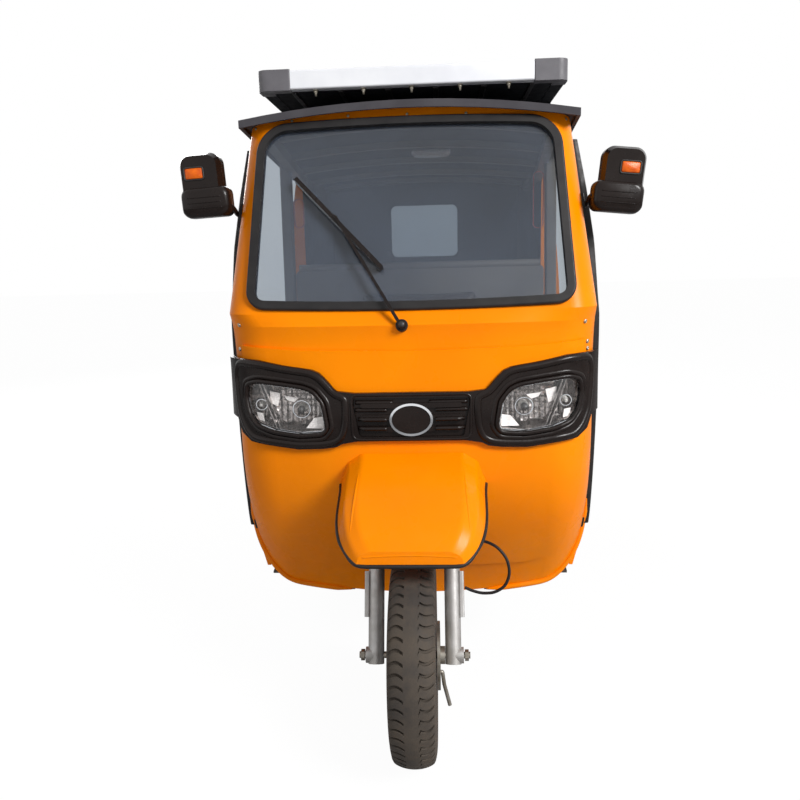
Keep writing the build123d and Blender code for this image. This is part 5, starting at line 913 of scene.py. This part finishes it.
# Rubber edging along the outside of the doorways, from the roof to the sill
# Columns: y of the edge and height
EDGING_LINE = (
    (-0.572, 1.610), (-0.600, 1.490), (-0.618, 1.400), (-0.640, 1.300), (-0.655, 1.200), (-0.664, 1.100),
    (-0.666, 1.000), (-0.667, 0.900), (-0.668, 0.800), (-0.669, 0.700), (-0.670, 0.600), (-0.672, 0.490),
)
# Columns: height and how far the edging stands out there
STAND_OUT = (
    (1.62, 0.018), (1.47, 0.028), (1.33, 0.032), (1.18, 0.026), (0.95, 0.024), (0.76, 0.020), (0.48, 0.013))


def stand_out(z):
    for (z0, a), (z1, b) in zip(STAND_OUT, STAND_OUT[1:]):
        if z >= z1:
            return a + (b - a) * max(0.0, min(1.0, (z0 - z) / (z0 - z1)))
    return STAND_OUT[-1][1]


edging_rubber = Heap()
for side in (-1, 1):
    line = smooth_path([(0.0, y, z) for y, z in EDGING_LINE], 0.02)
    rings = []
    for p in line:
        met = None
        for node in ("door_edge_trims", "screen_frame", "front_cowl"):
            for shift in (0.0, -0.006, 0.006):
                hit = on_node(node, (side * 0.9, p.y + shift, p.z), (-side, 0, 0))
                if hit and hit[0].x * side > 0 and (met is None or abs(hit[0].x) > met):
                    met = abs(hit[0].x)
        if met is None:
            continue
        out = stand_out(p.z)
        section = (
            (-0.003, -0.012), (out * 0.5, -0.012), (out - 0.002, -0.010), (out, -0.006), (out, 0.004),
            (out - 0.003, 0.008), (-0.003, 0.009))
        rings.append([Vector((side * (met + a), p.y + b, p.z)) for a, b in section])
    edging_rubber.rings(rings)
edging_rubber.make("doorway_edging", RUBBER, smooth=False)

# ------------------------------ fender edging
# Rays start this far out beside the fender, and may meet it within the reach
SKIRT_X = 0.42
SKIRT_REACH = 0.32
# Heights between which the rim lies, along the sides and round the front
RIM_LOW, SKIRT_TOP, NOSE_TOP = 0.52, 0.735, 0.70


def rim_height(origin, direction, low, high):
    """Lowest height at which a level ray still meets the fender."""
    for _ in range(16):
        middle = (low + high) / 2
        start = Vector((origin[0], origin[1], middle))
        hit = on_node("front_fender", start, direction)
        if hit and (hit[0] - start).length < SKIRT_REACH:
            high = middle
        else:
            low = middle
    hit = on_node("front_fender", (origin[0], origin[1], high + 0.0004), direction)
    return hit[0] if hit else None


SKIRT_YS = [-0.912 - 0.016 * i for i in range(15)]
edge_path = [rim_height((-SKIRT_X, y), (1, 0, 0), RIM_LOW, SKIRT_TOP) for y in SKIRT_YS]
for degrees in range(18, 163, 6):
    a = math.radians(degrees)
    out = Vector((-math.cos(a), -math.sin(a), 0))
    origin = Vector((0.0, -1.135, 0.0)) + out * 0.36
    edge_path.append(rim_height(origin, -out, RIM_LOW, NOSE_TOP))
edge_path += [rim_height((SKIRT_X, y), (-1, 0, 0), RIM_LOW, SKIRT_TOP) for y in reversed(SKIRT_YS)]
edge_path = [p for p in edge_path if p is not None]
edge_path = smooth_path(edge_path, 0.008, rounds=4)
edging = Heap()
tube(edging, [p + Vector((0, 0, -0.0005)) for p in edge_path], 0.0052, 10)
edging.make("fender_edging", RUBBER)

# Pressed crease along the front lip of the fender
crease_places = [(x, 0.604 - 0.35 * abs(x) ** 2) for x in [-0.118 + 0.008 * i for i in range(30)]]
crease = smooth_path(lifted("front_fender", crease_places, -0.0014, FENDER_AHEAD), 0.008)
lip = Heap()
tube(lip, crease, [0.0005] + [0.0026] * (len(crease) - 2) + [0.0005], 10)
lip.make("fender_lip_bead", ORANGE)

# Rolled lip along the lower rim of the nose, on both sides of the wheel
LIP_R = 0.0085
LIP_HUB_Z = 0.70
for side, label in ((-1, "right"), (1, "left")):
    rim = []
    for degrees in range(-14, -76, -2):
        a = math.radians(degrees)
        out = Vector((side * math.cos(a), 0, math.sin(a)))
        inner, outer = 0.10, 0.75
        for _ in range(18):
            reach = (inner + outer) / 2
            if from_ahead("front_cowl", out.x * reach, LIP_HUB_Z + out.z * reach):
                inner = reach
            else:
                outer = reach
        reach = inner - 0.0005
        hit = from_ahead("front_cowl", out.x * reach, LIP_HUB_Z + out.z * reach)
        if hit and abs(hit[0].x) > 0.20:
            rim.append(hit[0] + out * 0.0035)
    rim = smooth_path(rim, 0.012, rounds=4)
    count = len(rim)
    lip_tube = Heap()
    tube(lip_tube, rim, [LIP_R * min(1.0, 0.15 + 0.2 * min(i, count - 1 - i)) for i in range(count)], 12)
    lip_tube.make("nose_lip_" + label, ORANGE)

# Pressed ridges beside the wheel. Columns: foot and top in the front view, x and z
ridges = Heap()
for (x0, z0), (x1, z1) in (((-0.146, 0.628), (-0.136, 0.752)), ((0.146, 0.628), (0.136, 0.752))):
    places = [(x0 + (x1 - x0) * i / 24, z0 + (z1 - z0) * i / 24) for i in range(25)]
    path = smooth_path(lifted("front_fender", places, -0.0022, FENDER_AHEAD), 0.008)
    count = len(path)
    tube(ridges, path, [
        0.0004 + 0.0038 * math.sin(math.pi * min(1.0, 0.04 + 0.92 * i / count)) ** 0.5
        for i in range(count)], 12)
ridges.make("fender_ridges", ORANGE)


# ------------------------------ mirrors
def rounded_rectangle(half_w, half_h, radius, count=6):
    """Points of a rounded rectangle round the origin."""
    result = []
    for cx, cz, start in (
        (half_w - radius, half_h - radius, 0), (radius - half_w, half_h - radius, 90),
        (radius - half_w, radius - half_h, 180), (half_w - radius, radius - half_h, 270)):
        for i in range(count + 1):
            a = math.radians(start + 90 * i / count)
            result.append((cx + radius * math.cos(a), cz + radius * math.sin(a)))
    return result


# Columns: y, half width, half height, corner radius
COVER_ROWS = (
    (-0.7265, 0.0665, 0.0400, 0.020), (-0.752, 0.0672, 0.0408, 0.022), (-0.769, 0.0665, 0.0400, 0.024),
    (-0.778, 0.0620, 0.0355, 0.024), (-0.781, 0.0540, 0.0280, 0.020))
# Columns: label, side, centre x and z of the housing, lean in degrees
MIRRORS = (("right", -1, -0.565, 1.499, 3.0), ("left", 1, 0.568, 1.479, -6.0))
for label, side, cx, cz, lean in MIRRORS:
    tilt = math.radians(lean)
    across = Vector((math.cos(tilt), 0, math.sin(tilt)))
    upward = Vector((-math.sin(tilt), 0, math.cos(tilt)))
    middle = Vector((cx, 0, cz)) - upward * 0.046 - across * side * 0.008

    def outline(centre, y, half_w, half_h, radius):
        """Rounded rectangle at y, leaning with the mirror."""
        return [centre + Vector((0, y, 0)) + across * px + upward * pz
                for px, pz in rounded_rectangle(half_w, half_h, radius)]

    cover = Heap()
    cover.rings([outline(middle, *row) for row in COVER_ROWS])
    made = cover.make("mirror_cover_" + label, TRIM)
    made.data.set_sharp_from_angle(angle=math.radians(60))
    fins = Heap()
    for k in range(3):
        base = middle + upward * (0.012 - 0.014 * k) + Vector((0, -0.7806, 0))
        a, b = base - across * 0.046, base + across * 0.046
        tube(fins, smooth_path([a, a.lerp(b, 0.5) + Vector((0, -0.0006, 0)), b], 0.01), 0.0016, 8)
    fins.make("mirror_cover_ribs_" + label, TRIM)
    lamp_at = Vector((cx, 0, cz)) + upward * 0.030 + across * side * 0.014
    front = from_ahead("mirror_housings", lamp_at.x, lamp_at.z)
    face = front[0].y if front else -0.773
    lens = Heap()
    lens.rings([outline(lamp_at, face + ahead, half_w, half_h, 0.004) for ahead, half_w, half_h in (
        (0.002, 0.0235, 0.0135), (-0.0028, 0.0235, 0.0135), (-0.0045, 0.0215, 0.0115))])
    lens.make("repeater_lens_" + label, AMBER)
    frame_rim = Heap()
    tube(frame_rim, outline(lamp_at, face - 0.001, 0.0262, 0.0160, 0.006), 0.0022, 8, loop=True)
    frame_rim.make("repeater_frame_" + label, DARK)

# ------------------------------ hand straps
WEBBING_W = 0.0216
# Columns: label, side, lower z, upper z, x beside the pillar
STRAPS = (("right", -1, 1.411, 1.521, 0.4756), ("left", 1, 1.385, 1.593, 0.4746))
for label, side, z0, z1, x0 in STRAPS:
    low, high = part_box("grab_straps")
    centre = Vector((side * (x0 - 0.021), (low.y + high.y) / 2, (z0 + z1) / 2))
    ring = rounded_rectangle(0.0185, (z1 - z0) / 2 - 0.0025, 0.0165, 8)
    loop_path = [centre + Vector((px, 0, pz)) for px, pz in ring]
    strap = Heap()
    sections = []
    count = len(loop_path)
    for i, p in enumerate(loop_path):
        along = (loop_path[(i + 1) % count] - loop_path[i - 1]).normalized()
        out = Vector((along.z, 0, -along.x))
        w = Vector((0, WEBBING_W / 2, 0))
        t = out * 0.0008
        sections.append([p - w - t, p + w - t, p + w + t, p - w + t])
    strap.rings(sections, close_loop=True)
    webbing = strap.make("hand_strap_" + label, MATERIALS["strap_red"])
    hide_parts("grab_straps")

# ------------------------------ handlebar controls
RAKE = math.radians(24.0)
AXIS_UP = Vector((0, math.sin(RAKE), math.cos(RAKE)))
AXIS_BACK = Vector((0, math.cos(RAKE), -math.sin(RAKE)))
FORK_OFFSET = 0.040
AXIS_FOOT = Vector((0, FRONT_Y, TYRE_R)) + AXIS_BACK * FORK_OFFSET


def on_bar(x, back, up):
    """Point in the frame of the steering head."""
    return AXIS_FOOT + Vector((x, 0, 0)) + AXIS_BACK * back + AXIS_UP * up


pod = Heap()
pod_axis = (AXIS_UP * 0.7 + AXIS_BACK * 0.7).normalized()
pod_at = on_bar(0, -0.004, 0.828)
lathe(pod, pod_at, pod_axis, [
    (0.016, -0.012), (0.034, -0.002), (0.044, 0.012), (0.046, 0.026), (0.044, 0.031),
    (0.040, 0.031), (0.039, 0.027)], count=36)
pod.make("gauge_housing", DARK, "steering")
dial = Heap()
lathe(dial, pod_at + pod_axis * 0.0272, pod_axis, [(0.0388, -0.001), (0.0388, 0.0008)], count=36)
dial.make("gauge_face", BRIGHT, "steering")
marks = Heap()
side_a, side_b = axes_of(pod_axis)
for i in range(11):
    a = math.radians(-60 + 30 * i)
    radial = side_a * math.cos(a) + side_b * math.sin(a)
    tube(marks, [pod_at + pod_axis * 0.0283 + radial * reach for reach in (0.029, 0.036)], 0.0006, 6)
needle_at = pod_at + pod_axis * 0.0292
tube(marks, [needle_at, needle_at + side_a * 0.030], 0.0009, 6)
marks.make("gauge_marks", DARK, "steering")
# Columns: x, back and up in the frame of the steering head
LEVER_LINE = (
    (0.203, 0.060, 0.836), (0.212, 0.036, 0.838), (0.240, 0.030, 0.839), (0.300, 0.042, 0.838),
    (0.322, 0.046, 0.838))
levers = Heap()
clamps = Heap()
for side in (-1, 1):
    root = on_bar(side * 0.200, 0.072, 0.836)
    lathe(clamps, root - Vector((side * 0.011, 0, 0)), (side, -0.1, 0), [
        (0.0135, 0.0), (0.0150, 0.004), (0.0150, 0.020), (0.0135, 0.024)], count=20)
    lever = [on_bar(side * x, back, up) for x, back, up in LEVER_LINE]
    tube(levers, smooth_path(lever, 0.008), 0.0048, 8)
levers.make("hand_levers", MATERIALS["rim_silver"], "steering")
clamps.make("lever_clamps", DARK, "steering")

# ------------------------------ pedal on the toe board
pedal = Heap()
hit = on_node("floor_pan", (0.16, 0.0, 0.44), (0, -1, -0.02))
if hit:
    foot = hit[0]
    arm = [foot, foot + Vector((0, 0.05, 0.012)), foot + Vector((0, 0.085, 0.04))]
    tube(pedal, smooth_path(arm, 0.01), 0.007, 10)
    rows = []
    for depth, grow in ((0.0, 1.0), (0.010, 1.0), (0.013, 0.9)):
        base = foot + Vector((0, 0.085 + depth, 0.045 + depth * 0.4))
        rows.append([base + Vector((px * grow, -pz * 0.35 * grow, pz * grow))
                     for px, pz in rounded_rectangle(0.032, 0.022, 0.006)])
    pedal.rings(rows)
pedal.make("brake_pedal", RUBBER)

# ------------------------------ roof, rack and rear fittings
dome = Heap()
hit = seen_on("roof_shell", 431, 151)
if hit:
    dome.rings([
        [hit[0] + Vector((px * grow, pz * grow, -drop)) for px, pz in rounded_rectangle(0.075, 0.045, 0.02)]
        for drop, grow in ((-0.004, 1.0), (0.012, 1.0), (0.020, 0.86), (0.023, 0.5))])
dome.make("cabin_lamp", BRIGHT)

RACK_X = 0.012
SLAT_PITCH = 0.131
bolts = Heap()
for i in range(5):
    hit = on_node("rack_front_bar", (RACK_X + SLAT_PITCH * (i - 2), -0.693, 1.60), (0, 0, 1))
    if hit:
        hex_bolt(bolts, hit[0], (0, 0, -1), 0.010, 0.008)
        lathe(bolts, hit[0], (0, 0, -1), [(0.003, 0.0), (0.003, 0.016)], 10)
for side in (-1, 1):
    for y in (-0.382, 0.130, 0.640):
        for reach in (-0.012, 0.012):
            hit = on_node("rack_rails", (RACK_X + side * (0.32 + reach), y, 1.9), (0, 0, -1))
            if hit:
                pan_screw(bolts, hit[0], (0, 0, 1), 0.005, 0.004)
bolts.make("rack_bolts", SCREW)

side_slats = Heap()
slat_low, slat_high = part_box("rack_slats")
rail_low, rail_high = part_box("rack_rails")
RAIL_IN = 0.036
SLAT_GAP = 0.006
SLAT_CHAMFER = 0.002
for x0, x1 in (
    (rail_low.x + RAIL_IN, slat_low.x - SLAT_GAP), (slat_high.x + SLAT_GAP, rail_high.x - RAIL_IN)):
    side_slats.rings([
        [Vector((x, y, z)) for x, y in (
            (x0 + inset, slat_low.y), (x1 - inset, slat_low.y),
            (x1 - inset, slat_high.y), (x0 + inset, slat_high.y))]
        for z, inset in (
            (slat_low.z, SLAT_CHAMFER), (slat_low.z + SLAT_CHAMFER, 0.0),
            (slat_high.z - SLAT_CHAMFER, 0.0), (slat_high.z, SLAT_CHAMFER))])
side_slats.make("rack_side_slats", MATERIALS["deck"], smooth=False)

# Rubber strips that close the joints between the slats from below. Columns: x and z of the section
STRIP_SECTION = (
    (-0.008, -0.0002), (-0.006, -0.0034), (0.006, -0.0034), (0.008, -0.0002), (0.0024, 0.004),
    (-0.0024, 0.004))
JOINTS = (
    [slat_low.x - 0.003] + [RACK_X + SLAT_PITCH * (k - 1.5) for k in range(4)] + [slat_high.x + 0.003])
joint_strips = Heap()
for x in JOINTS:
    joint_strips.rings([
        [Vector((x + across, y, slat_low.z + up)) for across, up in STRIP_SECTION]
        for y in (slat_low.y + 0.001, slat_high.y - 0.001)])
joint_strips.make("rack_joint_strips", DARK, smooth=False)

NUTS = 5
VALVE_R = 0.146
VALVE_AT = 1.1
for label, node, body, x, y in WHEELS:
    nuts = Heap()
    if label == "front":
        side, start, ring = -1, -0.5, 0.046
    else:
        side = 1 if x > 0 else -1
        start, ring = side * 0.9, 0.050
    rim = node.replace("tyre", "rim")
    out = Vector((side, 0, 0))
    for k in range(NUTS):
        a = 2 * math.pi * k / NUTS + 0.3
        hit = on_node(rim, (start, y + ring * math.sin(a), TYRE_R + ring * math.cos(a)), -out)
        if hit:
            hex_bolt(nuts, hit[0], out, 0.017, 0.012)
    hub = on_node(rim, (start, y, TYRE_R + 0.024), -out)
    if hub and label != "front":
        lathe(nuts, (hub[0].x, y, TYRE_R), out, [
            (0.031, -0.001), (0.031, 0.010), (0.026, 0.018), (0.010, 0.021)], 28)
    valve_y, valve_z = y + VALVE_R * math.sin(VALVE_AT), TYRE_R + VALVE_R * math.cos(VALVE_AT)
    hit = on_node(rim, (start, valve_y, valve_z), -out)
    if hit:
        lathe(nuts, hit[0] - out * 0.004, out, [
            (0.0045, 0.0), (0.0045, 0.012), (0.0032, 0.014), (0.0032, 0.026), (0.0042, 0.027),
            (0.0042, 0.034)], 12)
    nuts.make(label + "_wheel_nuts", SCREW, body)

window = Heap()
glass_low, glass_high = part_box("rear_glass")
size = (glass_high - glass_low) / 2
centre_z = (glass_low.z + glass_high.z) / 2
path = []
for px, pz in rounded_rectangle(size.x + 0.004, size.z + 0.004, 0.038, 8):
    hit = from_behind("rear_panel", px * 1.02, centre_z + pz * 1.02)
    if hit:
        path.append(Vector((px, hit[0].y, centre_z + pz)))
tube(window, path, 0.0075, 10, loop=True)
window.make("rear_window_seal", RUBBER)

PLATE_Z = 0.478
rear_bits = Heap()
for x in (-0.1, 0.1):
    hit = from_behind("rear_panel", x + 0.007, PLATE_Z)
    if hit:
        lathe(rear_bits, (x, hit[0].y, PLATE_Z), (0, 1, 0), [
            (0.0075, -0.001), (0.0075, 0.0016), (0.0045, 0.0018)], 18)
rear_bits.make("plate_hole_washers", SCREW)
lock = Heap()
hit = from_behind("rear_hatch", 0.12, 0.66)
if hit:
    lathe(lock, hit[0], (0, 1, 0), [(0.015, -0.002), (0.015, 0.003), (0.011, 0.006), (0.004, 0.0065)], 24)
lock.make("hatch_lock", CHROME, "tail_lid")

lens_lines = Heap()
for side in (-1, 1):
    for k in range(4):
        z = 0.455 + 0.0155 * k
        ends = [from_behind("tail_lamps", side * x, z) for x in (0.356, 0.464)]
        if all(ends):
            tube(lens_lines, [end[0] for end in ends], 0.0016, 8)
lens_lines.make("tail_lens_ribs", MATERIALS["lamp_red"])

nut = Heap()
pivot = from_ahead("wiper", -0.020, 1.1215)
if pivot:
    lathe(nut, *pivot, [(0.009, -0.002), (0.009, 0.003), (0.006, 0.006), (0.002, 0.0065)], 18)
nut.make("wiper_cap", DARK, "wiper_arm")

# ------------------------------ floor, backdrop and light
FLOOR_HALF = 30.0
floor_finish = Finish("studio_floor")
floor_finish.set(
    Base_Color=floor_finish.mix(
        floor_finish.span(floor_finish.noise(0.6), 0.0, 1.0), (0.42, 0.42, 0.42, 1), (0.45, 0.45, 0.45, 1)),
    Roughness=0.9)
# Seen by the camera or through glass, the floor is nearly plain white
tree = floor_finish.tree
seen_by = add_node(tree, "LightPath", {}).outputs
plain = add_node(tree, "Emission", {"Color": (1, 1, 1, 1), "Strength": 1.07})
either = add_node(tree, "Math", {
    0: seen_by["Is Camera Ray"], 1: seen_by["Is Transmission Ray"]}, operation="MAXIMUM")
share = add_node(tree, "Math", {0: either.outputs["Value"], 1: 0.9}, operation="MULTIPLY")
joined = add_node(tree, "MixShader", {
    "Fac": share.outputs["Value"], 1: floor_finish.shader.outputs["BSDF"], 2: plain.outputs["Emission"]})
feed(tree, tree.nodes["Material Output"].inputs["Surface"], joined.outputs["Shader"])
floor = piece("floor", [
    (-FLOOR_HALF, -FLOOR_HALF, 0), (FLOOR_HALF, -FLOOR_HALF, 0), (FLOOR_HALF, FLOOR_HALF, 0),
    (-FLOOR_HALF, FLOOR_HALF, 0)], [(0, 1, 2, 3)], floor_finish.material, None)
floor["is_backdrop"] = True

world = bpy.data.worlds.new("studio")
scene.world = world
world.use_nodes = True
wt = world.node_tree
wt.nodes.clear()
soft_light = add_node(wt, "Background", {"Color": (0.97, 0.98, 1.0, 1), "Strength": 0.38})
white = add_node(wt, "Background", {"Color": (1, 1, 1, 1), "Strength": 1.0})
rays = add_node(wt, "LightPath", {}).outputs
first = add_node(wt, "Math", {0: rays["Is Camera Ray"], 1: rays["Is Glossy Ray"]}, operation="MAXIMUM")
second = add_node(wt, "Math", {
    0: first.outputs["Value"], 1: rays["Is Transmission Ray"]}, operation="MAXIMUM")
world_mix = add_node(wt, "MixShader", {
    "Fac": second.outputs["Value"], 1: soft_light.outputs["Background"], 2: white.outputs["Background"]})
add_node(wt, "OutputWorld", {"Surface": world_mix.outputs["Shader"]})

# Columns: name, place, aimed at, size, power
LIGHTS = (
    ("key", (3.9, -4.5, 4.3), (0.1, -0.6, 0.9), 2.0, 440.0),
    ("fill", (-4.2, -3.6, 2.2), (0.0, -0.4, 0.9), 3.2, 14.0),
    ("back", (-2.4, 4.8, 3.6), (0.0, 0.8, 1.0), 3.0, 190.0),
)
for label, place, aim, size, power in LIGHTS:
    lamp = bpy.data.lights.new(label, "AREA")
    lamp.size = size
    lamp.energy = power
    holder = bpy.data.objects.new(label, lamp)
    scene.collection.objects.link(holder)
    holder.visible_camera = False
    holder.visible_transmission = False
    holder.location = place
    holder.rotation_euler = (Vector(aim) - Vector(place)).to_track_quat("-Z", "Y").to_euler()

low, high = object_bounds()
